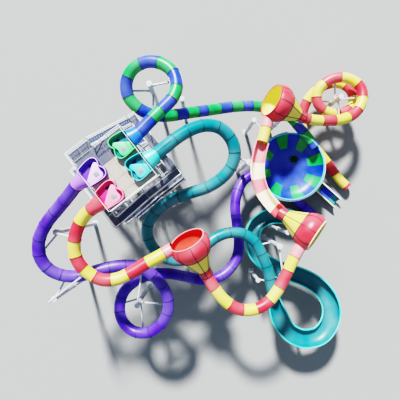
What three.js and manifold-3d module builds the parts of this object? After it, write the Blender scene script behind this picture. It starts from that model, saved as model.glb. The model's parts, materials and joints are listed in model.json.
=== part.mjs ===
// Water slide tower with four body slides, three funnels and a bowl, as a 1:2 scale model.
// All lengths below are real metres; MODEL turns them into model millimetres. +Z is up.
import * as THREE from "three";
import { mergeVertices } from "three/addons/utils/BufferGeometryUtils.js";
import Module from "manifold-3d";

const wasm = await Module();
wasm.setup();

// Scale and clearances
const MODEL = 500; // model mm for each real metre
const GAP = 0.0007; // clearance between touching pieces
const STEP = 1.75; // distance between cross-sections of a slide

// Slide sizes
const TUBE_R = 0.72; // outside radius of the closed tubes
const TUBE_WALL = 0.07;
const TUBE_SIDES = 12;
const BORE_SIDES = 8;
const MOUTH_WIDE = 1.5; // how much wider a tube is where it leaves its tub
const FLUME_R = 1.18; // half width of the wide open flume
const CHUTE_R = 0.78; // half width of the open chutes
const FLUME_WALL = 0.08;

// Start tubs
const TUB = { front: 3.35, high: 0.75, wall: 0.1, floor: 0.12, seat: 0.42 };

// Funnels
const MOUTH_R = 2.15;
const BULGE_R = 2.5; // widest part of the barrel-shaped band
const JOINT_R = 2.0;
const NECK_R = 0.8;
const BAND_L = 2.2;
const CONE_L = 2.4;
const NECK_L = 1.0;
const FUNNEL_WALL = 0.08;
const FUNNEL_SIDES = 28;
const FUNNEL_TILT = (22 * Math.PI) / 180;

// Bowl
const BOWL = { x: 13.2, y: 4.86, rim: 6.45, r: 4.8, floorR: 2.85, floorZ: 5.0, sides: 36 };
const DRAIN = { x: 14.05, y: 6.1, r: 0.55 };

// Tower: its middle, the heading of its exits and its deck
const TOWER = { x: -9.14, y: 3.28, yaw: (37.9 * Math.PI) / 180 };
const DECK_Z = 19;
const DECK = { a0: -3.7, a1: 3.3, b0: -3.33, b1: 3.33, t: 0.25 };
const STRIP = { a0: -4.75, a1: -3.75, b0: -3.33, b1: -0.55 - GAP };
const FLIGHT_W = 1.0;
const FLIGHT_STEPS = 18;
const FLIGHT_RISE = DECK_Z / 6;
const FLIGHT_RUN = 5.0;
const WALK_T = 0.18; // thickness of the walkways between flights
const LEG = 0.3;
const LEG_A = [-3.45, 0, 3.1]; // where the legs of each frame stand
const LEG_B = 3.15; // the outer frames' distance from the middle one

// Centre lines of the slides, from the top down
const PURPLE = [
  [-12.37, 2.54, 19.77], [-13.47, 1.68, 19.5], [-14.6, 0.52, 18.85], [-16.08, -0.96, 18.1], [-17.63, -2.64, 17.5],
  [-18.75, -4.66, 16.9], [-18.9, -6.73, 16.3], [-17.96, -8.38, 15.7], [-16.35, -9.2, 15.2],
  [-14.68, -9.29, 14.75], [-13.09, -8.83, 14.3], [-11.34, -8.41, 13.9], [-9.43, -8.23, 13.5],
  [-7.49, -8.64, 13.0], [-5.78, -9.89, 12.5], [-4.54, -11.81, 12.0], [-4.13, -14.03, 11.5],
  [-4.9, -16.16, 11.0], [-6.68, -17.64, 10.55], [-8.9, -17.73, 10.1], [-10.54, -16.45, 9.7],
  [-11.03, -14.52, 9.3], [-10.42, -12.56, 8.95], [-8.74, -11.1, 8.65], [-6.7, -10.4, 8.35],
  [-4.49, -10.32, 8.05], [-2.12, -10.81, 7.7], [0.43, -11.39, 7.3], [2.44, -11.18, 6.95],
  [4.19, -10.1, 6.6], [5.38, -8.29, 6.2], [5.71, -6.01, 5.8], [5.46, -3.54, 5.4],
  [5.21, -1.04, 4.95], [5.62, 1.2, 4.5], [6.65, 3.02, 4.1], [8.37, 3.96, 3.7],
  [10.29, 3.53, 3.2], [12.57, 2.02, 2.6], [15.07, 0.0, 1.9], [17.13, -1.75, 1.3],
  [18.48, -2.87, 1.05],
];
const TURQUOISE = [
  [-5.97, 4.1, 19.77], [-4.95, 4.9, 19.5], [-3.82, 5.95, 18.85], [-2.49, 7.12, 18.2], [-0.92, 8.14, 17.6],
  [0.7, 8.66, 17.1], [2.23, 8.5, 16.6], [3.44, 7.59, 16.1], [4.14, 6.12, 15.6],
  [4.0, 4.49, 15.1], [2.94, 2.94, 14.6], [1.12, 1.68, 14.0], [-1.26, 0.88, 13.4],
  [-3.56, 0.06, 12.9], [-5.46, -1.16, 12.45], [-6.68, -2.85, 12.0], [-6.88, -4.72, 11.5],
  [-6.08, -6.48, 11.1], [-4.52, -7.71, 10.8], [-2.68, -8.09, 10.5], [-0.81, -7.54, 10.2],
  [0.54, -6.36, 9.9], [2.04, -5.18, 9.6], [3.84, -4.52, 9.3], [5.79, -4.62, 9.0],
  [7.49, -5.68, 8.7], [8.65, -7.67, 8.4], [9.56, -9.84, 8.0], [10.06, -12.04, 7.6],
  [10.49, -13.84, 7.2],
];
const WIDE_FLUME = [
  [10.49, -13.84, 7.2], [10.96, -15.62, 6.83], [11.72, -17.51, 6.45], [13.11, -19.37, 6.1],
  [15.25, -20.31, 5.75], [17.71, -19.92, 5.4], [19.29, -17.95, 5.1], [19.54, -15.66, 4.8],
  [18.47, -13.51, 4.45], [16.45, -12.0, 4.15], [14.1, -11.07, 3.9], [11.74, -10.52, 3.6],
  [9.8, -9.49, 3.35], [8.31, -7.7, 3.05], [7.96, -5.57, 2.8], [8.7, -3.73, 2.5],
  [10.47, -2.58, 2.2], [12.72, -2.36, 1.9], [15.18, -3.16, 1.5], [17.19, -4.93, 1.1],
];
const BLUE = [
  [-7.85, 6.5, 19.77], [-6.82, 7.3, 19.5], [-5.5, 8.9, 18.75], [-4.18, 10.39, 18.2], [-3.08, 11.76, 17.75],
  [-2.71, 13.26, 17.35], [-3.26, 15.03, 16.9], [-4.7, 16.11, 16.5], [-6.41, 16.37, 16.1],
  [-8.02, 15.68, 15.7], [-8.88, 14.26, 15.3], [-8.78, 12.68, 14.9], [-7.75, 11.44, 14.5],
  [-6.22, 10.69, 14.0], [-4.41, 10.58, 13.4], [-2.31, 11.02, 12.6], [-1.17, 11.35, 12.0],
  [0.66, 11.84, 10.9], [2.71, 12.41, 9.8], [4.85, 12.94, 8.7], [7.05, 13.26, 7.8],
  [8.99, 13.27, 7.2], [11.05, 12.92, 6.9], [12.96, 11.96, 6.7], [14.29, 10.54, 6.6],
  [15.7, 8.9, 6.5], [16.6, 7.6, 6.45],
];
const BOWL_CHUTE = [
  [13.55, 6.65, 3.5], [14.2, 5.95, 3.3], [15.49, 4.96, 2.7], [16.92, 3.76, 2.05], [18.15, 2.68, 1.6],
  [20.02, 1.11, 1.2], [21.85, -0.48, 1.0],
];
const RED_TOP = [
  [-10.46, 0.1, 19.77], [-11.49, -0.7, 19.5], [-12.78, -1.66, 18.85], [-13.86, -3.27, 18.3], [-14.35, -5.24, 17.85],
  [-14.07, -7.01, 17.5], [-13.07, -8.33, 17.2], [-11.52, -9.25, 16.95], [-9.71, -9.25, 16.7],
  [-7.99, -8.46, 16.5], [-6.5, -7.56, 16.3], [-5.1, -6.81, 16.15], [-3.81, -6.08, 15.9],
  [-2.41, -5.29, 15.5],
];
const RED_MIDDLE = [
  [0.8, -9.31, 13.93], [1.3, -10.24, 13.8], [1.85, -11.12, 13.75], [3.01, -12.53, 13.65],
  [4.64, -13.62, 13.55], [6.42, -13.84, 13.45], [8.2, -13.18, 13.35], [9.6, -11.75, 13.25],
  [10.75, -9.74, 13.2], [11.65, -7.85, 13.15], [12.42, -6.46, 13.1], [13.24, -5.09, 12.9],
];
const RED_FLUME = [
  [10.55, -1.65, 11.12], [9.54, -0.66, 10.97], [8.29, 1.06, 10.9], [7.7, 2.92, 10.85],
  [7.65, 4.79, 10.8], [7.99, 6.66, 10.75], [8.53, 8.53, 10.7], [8.95, 10.15, 10.6],
  [9.38, 11.8, 10.4],
];
const COIL = [
  [14.22, 11.38, 8.89], [16.01, 11.1, 8.5], [17.92, 11.13, 8.2], [20.0, 11.34, 7.9],
  [21.95, 12.32, 7.6], [23.07, 14.1, 7.3], [23.06, 16.04, 7.0], [21.73, 17.34, 6.75],
  [19.81, 17.71, 6.5], [18.16, 17.0, 6.25], [17.08, 15.62, 6.0], [17.3, 14.08, 5.75],
  [18.87, 12.97, 5.45], [20.9, 12.82, 5.15], [22.51, 13.86, 4.85], [23.0, 15.44, 4.55],
  [22.3, 16.95, 4.25], [20.77, 17.74, 3.9], [18.94, 17.48, 3.5], [17.38, 16.38, 3.1],
  [16.34, 14.87, 2.7], [15.89, 12.78, 2.35], [16.13, 10.81, 2.05], [17.3, 9.12, 1.8],
  [19.13, 7.11, 1.5], [20.8, 5.08, 1.25], [22.29, 3.18, 1.1], [23.42, 2.07, 1.05],
];

// Funnel mouths: centre of the mouth and the plan heading towards the neck
const FUNNELS = [
  { name: "funnel_1", mouth: [-1.55, -4.76, 16.0], heading: [0.46, -0.89] },
  { name: "funnel_2", mouth: [14.8, -4.51, 13.2], heading: [-0.83, 0.56] },
  { name: "funnel_3", mouth: [9.48, 13.22, 10.95], heading: [0.93, -0.36] },
];

// Colours
const PAINT = {
  purple: [0x7a1fd0, 0.25, 0],
  turquoise: [0x19b9c4, 0.25, 0],
  blue: [0x1f6fd0, 0.25, 0],
  green: [0x3fae3a, 0.25, 0],
  red: [0xe0343c, 0.25, 0],
  yellow: [0xf2c21b, 0.25, 0],
  pink: [0xe46a86, 0.3, 0],
  steel: [0xd8dcdf, 0.5, 0.4],
  deck: [0xd9cfb8, 0.8, 0],
  tread: [0x4a5a78, 0.7, 0.1],
  rail: [0xf0f0ee, 0.5, 0.2],
};

const root = new THREE.Group();
root.name = "water_slide_tower";

// Solids
const pool = [];
function solid(geometry) {
  const g = geometry.clone();
  for (const key of Object.keys(g.attributes)) if (key !== "position") g.deleteAttribute(key);
  const merged = mergeVertices(g, 1e-5);
  return new wasm.Manifold(
    new wasm.Mesh({
      numProp: 3,
      vertProperties: new Float32Array(merged.attributes.position.array),
      triVerts: new Uint32Array(merged.index.array),
    }),
  );
}

function buffer(points, faces) {
  const g = new THREE.BufferGeometry();
  g.setAttribute("position", new THREE.BufferAttribute(new Float32Array(points.flat()), 3));
  g.setIndex(faces);
  return g;
}

function add(name, made, paint) {
  const scaled = made.scale([MODEL, MODEL, MODEL]);
  const m = scaled.getMesh();
  const positions = [];
  for (let i = 0; i < m.numVert; i++) {
    positions.push(m.vertProperties[i * m.numProp], m.vertProperties[i * m.numProp + 1]);
    positions.push(m.vertProperties[i * m.numProp + 2]);
  }
  const g = new THREE.BufferGeometry();
  g.setAttribute("position", new THREE.BufferAttribute(new Float32Array(positions), 3));
  g.setIndex(Array.from(m.triVerts));
  g.computeVertexNormals();
  const [color, roughness, metalness] = PAINT[paint];
  const material = new THREE.MeshStandardMaterial({ color, roughness, metalness });
  const mesh = new THREE.Mesh(g, material);
  mesh.name = name;
  root.add(mesh);
  pool.push({ name, made });
  return made;
}

function box(a, b) {
  const g = new THREE.BoxGeometry(b[0] - a[0], b[1] - a[1], b[2] - a[2]);
  g.translate((a[0] + b[0]) / 2, (a[1] + b[1]) / 2, (a[2] + b[2]) / 2);
  return solid(g);
}

function rod(p, q, r, sides = 8) {
  const a = new THREE.Vector3(...p);
  const b = new THREE.Vector3(...q);
  const g = new THREE.CylinderGeometry(r, r, a.distanceTo(b), sides);
  g.applyQuaternion(
    new THREE.Quaternion().setFromUnitVectors(
      new THREE.Vector3(0, 1, 0),
      b.clone().sub(a).normalize(),
    ),
  );
  g.translate((a.x + b.x) / 2, (a.y + b.y) / 2, (a.z + b.z) / 2);
  return solid(g);
}

function union(list) {
  return list.reduce((sum, one) => sum.add(one));
}

// Tower frame of reference: a runs across the exits, b along them
const U = {
  a: [Math.sin(TOWER.yaw), -Math.cos(TOWER.yaw)],
  b: [Math.cos(TOWER.yaw), Math.sin(TOWER.yaw)],
};
function world(a, b, z) {
  return [
    TOWER.x + U.a[0] * a + U.b[0] * b,
    TOWER.y + U.a[1] * a + U.b[1] * b,
    z,
  ];
}
function towerBox(a0, a1, b0, b1, z0, z1) {
  const g = new THREE.BoxGeometry(b1 - b0, a1 - a0, z1 - z0);
  g.translate((b0 + b1) / 2, -(a0 + a1) / 2, (z0 + z1) / 2);
  g.rotateZ(TOWER.yaw);
  g.translate(TOWER.x, TOWER.y, 0);
  return solid(g);
}

// Sweeps a closed cross-section, given as [side, up] points, along frames
function frameAt(point, tangent) {
  const t = new THREE.Vector3(...tangent).normalize();
  const side = new THREE.Vector3(0, 0, 1).cross(t).normalize(); // left of travel
  const up = t.clone().cross(side).normalize();
  return { p: new THREE.Vector3(...point), t, side, up };
}

function place(f, s, u) {
  return [
    f.p.x + f.side.x * s + f.up.x * u,
    f.p.y + f.side.y * s + f.up.y * u,
    f.p.z + f.side.z * s + f.up.z * u,
  ];
}

function sweep(frames, profileAt) {
  const points = [];
  const faces = [];
  const first = profileAt(0);
  const n = first.length;
  frames.forEach((f, i) => profileAt(i).forEach(([s, u]) => points.push(place(f, s, u))));
  for (let i = 0; i < frames.length - 1; i++)
    for (let j = 0; j < n; j++) {
      const k = (j + 1) % n;
      const a = i * n + j;
      const b = i * n + k;
      const c = (i + 1) * n + k;
      const d = (i + 1) * n + j;
      faces.push(a, b, c, a, c, d);
    }
  const cap = (base, profile, flip) => {
    const contour = profile.map(([s, u]) => new THREE.Vector2(s, u));
    for (const [x, y, z] of THREE.ShapeUtils.triangulateShape(contour, []))
      if (flip) faces.push(base + x, base + z, base + y);
      else faces.push(base + x, base + y, base + z);
  };
  cap(0, first, true);
  cap((frames.length - 1) * n, profileAt(frames.length - 1), false);
  const made = solid(buffer(points, faces));
  if (made.volume() >= 0) return made;
  const turned = [];
  for (let i = 0; i < faces.length; i += 3) turned.push(faces[i], faces[i + 2], faces[i + 1]);
  return solid(buffer(points, turned));
}

function ring(radius, sides, squash = 1) {
  const out = [];
  for (let j = 0; j < sides; j++) {
    const a = ((j + 0.5) / sides) * 2 * Math.PI;
    out.push([radius * squash * Math.cos(a), radius * Math.sin(a)]);
  }
  return out;
}

// A slide's centre line, sampled at even steps
function route(points) {
  const curve = new THREE.CatmullRomCurve3(
    points.map((p) => new THREE.Vector3(...p)),
    false,
    "centripetal",
  );
  curve.arcLengthDivisions = 600;
  const length = curve.getLength();
  const at = (s) => {
    const u = Math.min(Math.max(s / length, 0), 1);
    const p = curve.getPointAt(u);
    const t = curve.getTangentAt(u);
    return frameAt([p.x, p.y, p.z], [t.x, t.y, t.z]);
  };
  const near = (x, y, zMin = -1, zMax = 99) => {
    let best = null;
    for (let s = 0; s <= length; s += 0.1) {
      const p = at(s).p;
      if (p.z < zMin || p.z > zMax) continue;
      const d = Math.hypot(p.x - x, p.y - y);
      if (!best || d < best.d) best = { d, s, p };
    }
    return best;
  };
  return { length, at, near };
}

function framesOf(path, s0, s1, step = STEP) {
  const n = Math.max(2, Math.round((s1 - s0) / step));
  const out = [];
  for (let i = 0; i <= n; i++) out.push(path.at(s0 + ((s1 - s0) * i) / n));
  return out;
}

// The same frames with both end ones moved outwards along the route
function stretched(frames, by) {
  const moved = (f, d) => ({ ...f, p: f.p.clone().addScaledVector(f.t, d) });
  const last = frames.length - 1;
  return frames.map((f, i) => (i === 0 ? moved(f, -by) : i === last ? moved(f, by) : f));
}

// Filled copies of every slide, grown by the clearance, that cut whatever meets them
const skins = [];
function clearOf(made) {
  return skins.reduce((left, skin) => left.subtract(skin), made);
}

// Closed tube between two distances; a mouth widens the start into the tub's front
function tube(path, s0, s1, mouth = 0) {
  const n = Math.max(2, Math.round((s1 - s0) / STEP));
  const at = [];
  for (let i = 0; i <= n; i++) at.push(s0 + ((s1 - s0) * i) / n);
  if (mouth) at.splice(1, at[1] > mouth ? 0 : 1, mouth);
  const frames = at.map((s) => path.at(s));
  const squash = at.map((s) => (mouth && s < mouth ? 1 + (MOUTH_WIDE - 1) * (1 - s / mouth) : 1));
  const skin = (extra, past, sides) =>
    sweep(stretched(frames, past), (i) => ring(TUBE_R + extra, sides, squash[i]));
  skins.push(skin(GAP, GAP, TUBE_SIDES));
  const made = skin(0, 0, TUBE_SIDES).subtract(skin(-TUBE_WALL, 0.01, BORE_SIDES));
  return mouth ? made.subtract(tubSide()) : made;
}

// Open channel: a round bottom between two upright sides with rolled rims
function channel(half, depth, rise, wall, lean = 0) {
  const out = [];
  const inn = [];
  const steps = 8;
  for (let j = 0; j <= steps; j++) {
    const a = Math.PI + (Math.PI * j) / steps;
    out.push([half * Math.cos(a), depth * Math.sin(a)]);
    inn.push([(half - wall) * Math.cos(a), (depth - wall) * Math.sin(a)]);
  }
  const lip = wall * 1.6;
  const left = [
    [-half + wall, rise],
    [-half - lip, rise],
    [-half - lip, rise - wall],
    [-half, rise - wall],
  ];
  const right = left.map(([s, u]) => [-s, u]).reverse();
  const all = [...left, ...out, ...right, ...inn.reverse()];
  const c = Math.cos(lean);
  const d = Math.sin(lean);
  return all.map(([s, u]) => [s * c - u * d, s * d + u * c]);
}

function openFlume(path, s0, s1, half, depth, rise, leanAt = () => 0, step = STEP, grows = 0) {
  const frames = framesOf(path, s0, s1, step);
  const n = frames.length - 1;
  const lean = (i) => leanAt(s0 + ((s1 - s0) * i) / n);
  // the first stretch widens from a tube's width
  const share = (i) => (grows ? Math.min(1, (((s1 - s0) * i) / n + 0.01) / grows) : 1);
  const shape = (i, extra) =>
    channel(
      TUBE_R + (half - TUBE_R) * share(i) + extra,
      TUBE_R + (depth - TUBE_R) * share(i) + extra,
      rise * share(i) + extra,
      FLUME_WALL,
      lean(i) * share(i),
    );
  skins.push(sweep(frames, (i) => shape(i, GAP).slice(0, -9)));
  return sweep(frames, (i) => shape(i, 0));
}

// How sharply a route turns left (1/m), for banking
function turning(path, s) {
  const a = path.at(s - 1.2).t;
  const b = path.at(s + 1.2).t;
  let turn = Math.atan2(b.y, b.x) - Math.atan2(a.y, a.x);
  if (turn > Math.PI) turn -= 2 * Math.PI;
  if (turn < -Math.PI) turn += 2 * Math.PI;
  return turn / 2.4;
}

// The space behind the tubs' fronts, where the tubes begin
function tubSide() {
  const b = TUB.front + GAP;
  return towerBox(-6, 6, -b, b, DECK_Z - 1, DECK_Z + 3);
}

const purple = route(PURPLE);
const turquoise = route(TURQUOISE);
const wide = route(WIDE_FLUME);
const blue = route(BLUE);
const bowlChute = route(BOWL_CHUTE);
const redTop = route(RED_TOP);
const redMiddle = route(RED_MIDDLE);
const redFlume = route(RED_FLUME);
const coil = route(COIL);

// Funnels: a barrel-shaped band, a cone and a short neck around a tilted axis
function funnel(spec) {
  const h = new THREE.Vector2(...spec.heading).normalize();
  const t = [
    h.x * Math.cos(FUNNEL_TILT),
    h.y * Math.cos(FUNNEL_TILT),
    -Math.sin(FUNNEL_TILT),
  ];
  const at = (s) => spec.mouth.map((v, i) => v + t[i] * s);
  const stations = [
    [0, MOUTH_R],
    [BAND_L * 0.18, MOUTH_R + (BULGE_R - MOUTH_R) * 0.7],
    [BAND_L * 0.42, BULGE_R],
    [BAND_L * 0.72, JOINT_R + (BULGE_R - JOINT_R) * 0.72],
    [BAND_L, JOINT_R],
    [BAND_L + CONE_L, NECK_R + 0.06],
    [BAND_L + CONE_L + NECK_L, NECK_R],
  ];
  const frames = stations.map(([s]) => frameAt(at(s), t));
  const outer = sweep(frames, (i) => ring(stations[i][1], FUNNEL_SIDES));
  const longer = stretched(frames, 0.01);
  const inner = sweep(longer, (i) => ring(stations[i][1] - FUNNEL_WALL, FUNNEL_SIDES));
  const far = { ...frames[0], p: frames[0].p.clone().addScaledVector(frames[0].t, -1.6) };
  const hollow = sweep([far, ...longer.slice(1)], (i) =>
    ring(stations[i][1] - FUNNEL_WALL - 0.002, FUNNEL_SIDES),
  );
  const body = sweep(stretched(frames, GAP), (i) => ring(stations[i][1] + GAP, FUNNEL_SIDES));
  return { shell: outer.subtract(inner), body, hollow };
}
const [f1, f2, f3] = FUNNELS.map(funnel);

// Purple slide
const pEnd = purple.length;
const pCuts = [0, 30, 60, pEnd];
for (let i = 0; i < 3; i++)
  add(
    "purple_tube_" + (i + 1),
    tube(purple, pCuts[i] + (i ? GAP : 0), pCuts[i + 1] - GAP, i ? 0 : 1.5),
    "purple",
  );

// Turquoise slide: tube, then a wide banked flume
const tEnd = turquoise.length;
const tCuts = [0, 28, tEnd];
for (let i = 0; i < 2; i++)
  add(
    "turquoise_tube_" + (i + 1),
    tube(turquoise, tCuts[i] + (i ? GAP : 0), tCuts[i + 1] - GAP, i ? 0 : 1.5),
    "turquoise",
  );
const lastTube = skins[skins.length - 1];
const bank = (s) => Math.max(-0.35, Math.min(0.35, -turning(wide, s) * 1.4));
const wCuts = [0, wide.length * 0.5, wide.length];
for (let i = 0; i < 2; i++)
  add(
    "turquoise_flume_" + (i + 1),
    openFlume(
      wide, wCuts[i] + GAP, wCuts[i + 1] - GAP, FLUME_R, 0.85, 0.35, bank, 1.6, i ? 0 : 3,
    ).subtract(lastTube),
    "turquoise",
  );

// Blue slide into the bowl
function bowlShell() {
  const { x, y, rim, r, floorR, floorZ, sides } = BOWL;
  const w = 0.09;
  const profile = [
    [0, floorZ - 0.45],
    [floorR, floorZ],
    [r - 0.85, floorZ + 0.32],
    [r - 0.3, floorZ + 0.8],
    [r - 0.1, rim],
    [r + 0.12, rim],
    [r + 0.12, rim - w],
    [r, rim - w],
    [r - 0.21, floorZ + 0.74],
    [r - 0.8, floorZ + 0.32 - w],
    [floorR, floorZ - w],
    [0, floorZ - 0.45 - w],
  ];
  const g = new THREE.LatheGeometry(
    profile.map(([px, pz]) => new THREE.Vector2(px, pz)),
    sides,
  );
  g.rotateX(Math.PI / 2);
  g.translate(x, y, 0);
  let made = solid(g);
  if (made.volume() < 0) {
    const turned = g.toNonIndexed();
    const p = turned.attributes.position.array;
    for (let i = 0; i < p.length; i += 9)
      for (let k = 0; k < 3; k++) [p[i + 3 + k], p[i + 6 + k]] = [p[i + 6 + k], p[i + 3 + k]];
    made = solid(turned);
  }
  const inside = rod([x, y, floorZ - 0.1], [x, y, rim + 2], r - 0.34, sides);
  const drain = rod([DRAIN.x, DRAIN.y, 3.5], [DRAIN.x, DRAIN.y, rim], DRAIN.r, 16);
  return { made: made.subtract(drain), inside };
}
const bowl = bowlShell();
const bEnd = blue.length;
const bCuts = [0, 25, bEnd];
for (let i = 0; i < 2; i++) {
  let made = tube(blue, bCuts[i] + (i ? GAP : 0), bCuts[i + 1] - GAP, i ? 0 : 1.5);
  if (i === 1) made = made.subtract(bowl.inside);
  add("blue_tube_" + (i + 1), made, i === 1 ? "green" : "blue");
}
add("bowl", biggest(clearOf(bowl.made)), "blue");
// Under the drain the chute is a closed pot that a short pipe drops into
function chuteWithPot() {
  const long = 1.9;
  const CHUTE_W = TUBE_R + 0.03;
  const pot = framesOf(bowlChute, 0, long, 0.6);
  const solidPot = sweep(pot, () => ring(TUBE_R, 16));
  const potBore = sweep(framesOf(bowlChute, 0.08, long + 0.02, 0.6), () =>
    ring(TUBE_R - TUBE_WALL, 16),
  );
  const pipe = (r, z0) => rod([DRAIN.x, DRAIN.y, z0], [DRAIN.x, DRAIN.y, 4.9], r, 16);
  const open = openFlume(bowlChute, long - 0.15, bowlChute.length, CHUTE_W, CHUTE_W, 0.3);
  const under = union([0, 1, 2].map((k) => bowl.made.translate([0, 0, -k * GAP])));
  const top = rod([DRAIN.x, DRAIN.y, 4.75], [DRAIN.x, DRAIN.y, 6], 2, 16);
  return union([solidPot, pipe(DRAIN.r + 0.08, 3.4), open])
    .subtract(potBore)
    .subtract(pipe(DRAIN.r, 3.3))
    .subtract(under)
    .subtract(top);
}
add("bowl_chute", biggest(chuteWithPot()), "green");

// Red slide through three funnels: each tube ends at the band's inner face
function ended(made, into) {
  return biggest(made.subtract(into.hollow));
}
const redParts = [
  ["red_tube_1", ended(tube(redTop, 0, redTop.length, 1.5), f1), "red"],
  ["red_tube_2", ended(tube(redMiddle, 0, redMiddle.length), f2).subtract(f1.body), "red"],
];
const flumeEnd = redFlume.near(8.3, 7.7).s;
redParts.push(
  [
    "red_flume",
    openFlume(redFlume, 0, flumeEnd - GAP, CHUTE_R, 0.75, 0.25).subtract(f2.body),
    "yellow",
  ],
  ["red_tube_3", ended(tube(redFlume, flumeEnd + GAP, redFlume.length), f3), "red"],
);
const cEnd = coil.length;
const cCuts = [0, 24, cEnd];
for (let i = 0; i < 2; i++) {
  let made = tube(coil, cCuts[i] + (i ? GAP : 0), cCuts[i + 1] - GAP);
  if (i === 0) made = made.subtract(f3.body);
  redParts.push(["red_coil_" + (i + 1), made, i === 1 ? "yellow" : "red"]);
}
for (const [name, made, paint] of redParts) add(name, biggest(made), paint);
add("funnel_1", biggest(clearOf(f1.shell)), "yellow");
add("funnel_2", biggest(clearOf(f2.shell)), "yellow");
add("funnel_3", biggest(clearOf(f3.shell)), "yellow");

function biggest(made) {
  return made.decompose().sort((a, b) => b.volume() - a.volume())[0];
}

// Start tubs, open on the side that leads into the tube
const TUBS = [
  { name: "purple_tub", a: -1.4, out: -1, paint: "purple" },
  { name: "red_tub", a: 1.7, out: -1, paint: "pink" },
  { name: "green_tub", a: -1.75, out: 1, paint: "green" },
  { name: "turquoise_tub", a: 1.3, out: 1, paint: "turquoise" },
];
// A tub seen from above: x towards +a, y back from its front; a well leads to the tube
// beside a raised place to sit down on
const TUB_LINE = [
  [-1.2, 0], [-1.36, -0.8], [-1.44, -1.5], [-1.36, -2.0], [-1.1, -2.3], [-0.75, -2.36],
  [-0.45, -2.3], [-0.22, -2.18], [0.02, -2.28], [0.4, -2.44], [0.85, -2.38], [1.18, -2.1],
  [1.26, -1.6], [1.2, -0.8], [1.1, 0],
];
const SEAT_LINE = [
  [0.35, -0.05], [-0.75, -1.6], [-0.72, -2.02], [-0.45, -2.08], [0.1, -1.9], [0.62, -1.96],
  [1.0, -1.75], [1.05, -1.3], [1.0, -0.05],
];
for (const t of TUBS) {
  const prism = (line, z0, z1) => {
    const s = new THREE.Shape();
    line.forEach(([x, y], i) => (i ? s.lineTo(t.out * y, -x) : s.moveTo(t.out * y, -x)));
    s.closePath();
    const g = new THREE.ExtrudeGeometry(s, { depth: z1 - z0, bevelEnabled: false });
    g.translate(t.out * TUB.front, -t.a, z0);
    g.rotateZ(TOWER.yaw);
    g.translate(TOWER.x, TOWER.y, DECK_Z + GAP);
    return solid(g);
  };
  // The hollow's outline lies one wall inside the tub's, and runs out at the front
  const mid = [-0.07, -1.1];
  const inside = TUB_LINE.map(([x, y], i) => {
    const far = Math.hypot(x - mid[0], y - mid[1]);
    const k = 1 - TUB.wall / far;
    const end = i === 0 || i === TUB_LINE.length - 1;
    return [mid[0] + (x - mid[0]) * (end ? 0.91 : k), end ? 0.05 : mid[1] + (y - mid[1]) * k];
  });
  const body = prism(TUB_LINE, 0, TUB.high);
  const hollow = prism(inside, TUB.floor, TUB.high + 0.1);
  add(t.name, body.subtract(hollow).add(prism(SEAT_LINE, TUB.floor - 0.05, TUB.seat)), t.paint);
}

// Deck with the strip that the top flight reaches
const deck = towerBox(DECK.a0, DECK.a1, DECK.b0, DECK.b1, DECK_Z - DECK.t, DECK_Z).add(
  towerBox(STRIP.a0, STRIP.a1 + 0.1, STRIP.b0, STRIP.b1, DECK_Z - DECK.t, DECK_Z),
);
add("deck", deck, "deck");

// Stair flights wind round the tower, each with the walkway that leads to the next
function flight(index) {
  const low = index * FLIGHT_RISE;
  const near = index % 2 === 0; // even flights climb on the outer side towards +b
  const a0 = near ? 3.45 : -4.75;
  const from = near ? -4.45 : 4.45;
  const dir = near ? 1 : -1;
  const rise = FLIGHT_RISE / FLIGHT_STEPS;
  const run = FLIGHT_RUN / FLIGHT_STEPS;
  const s = new THREE.Shape();
  s.moveTo(0, 0);
  for (let i = 0; i < FLIGHT_STEPS; i++) {
    s.lineTo(i * run, (i + 1) * rise);
    s.lineTo((i + 1) * run, (i + 1) * rise);
  }
  s.lineTo(FLIGHT_RUN, FLIGHT_RISE - 0.25);
  s.lineTo(0.4, 0);
  s.closePath();
  const g = new THREE.ExtrudeGeometry(s, { depth: FLIGHT_W, bevelEnabled: false });
  g.rotateX(Math.PI / 2);
  if (dir < 0) g.rotateZ(Math.PI);
  g.translate(from, dir > 0 ? -a0 : -a0 - FLIGHT_W, low);
  g.rotateZ(TOWER.yaw);
  g.translate(TOWER.x, TOWER.y, 0);
  const pieces = [solid(g)];
  const z1 = low + FLIGHT_RISE;
  const t = WALK_T;
  const inner = LEG_B + LEG / 2 + GAP;
  const bearers = (b0, b1) =>
    LEG_A.map((a) => towerBox(a - 0.1, a + 0.1, b0, b1, z1 - t - 0.22, z1 - t + 0.02));
  if (index < 5) pieces.push(...(near ? bearers(inner, 5.4) : bearers(-5.4, -inner)));
  if (near) {
    pieces.push(towerBox(3.45, 4.45, 0.5, 5.45, z1 - t, z1));
    pieces.push(towerBox(-4.75, 4.45, 4.38, 5.45, z1 - t, z1));
  } else if (index < 5) {
    pieces.push(towerBox(-4.75, -3.75, -5.45, -0.5, z1 - t, z1));
    pieces.push(towerBox(-4.75, 4.45, -5.45, -4.38, z1 - t, z1));
  }
  return union(pieces);
}
for (let i = 0; i < 6; i++) {
  let made = flight(i);
  if (i < 5) made = made.subtract(flight(i + 1).translate([0, 0, -GAP]));
  add("stair_" + (i + 1), biggest(made), "tread");
}

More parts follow.
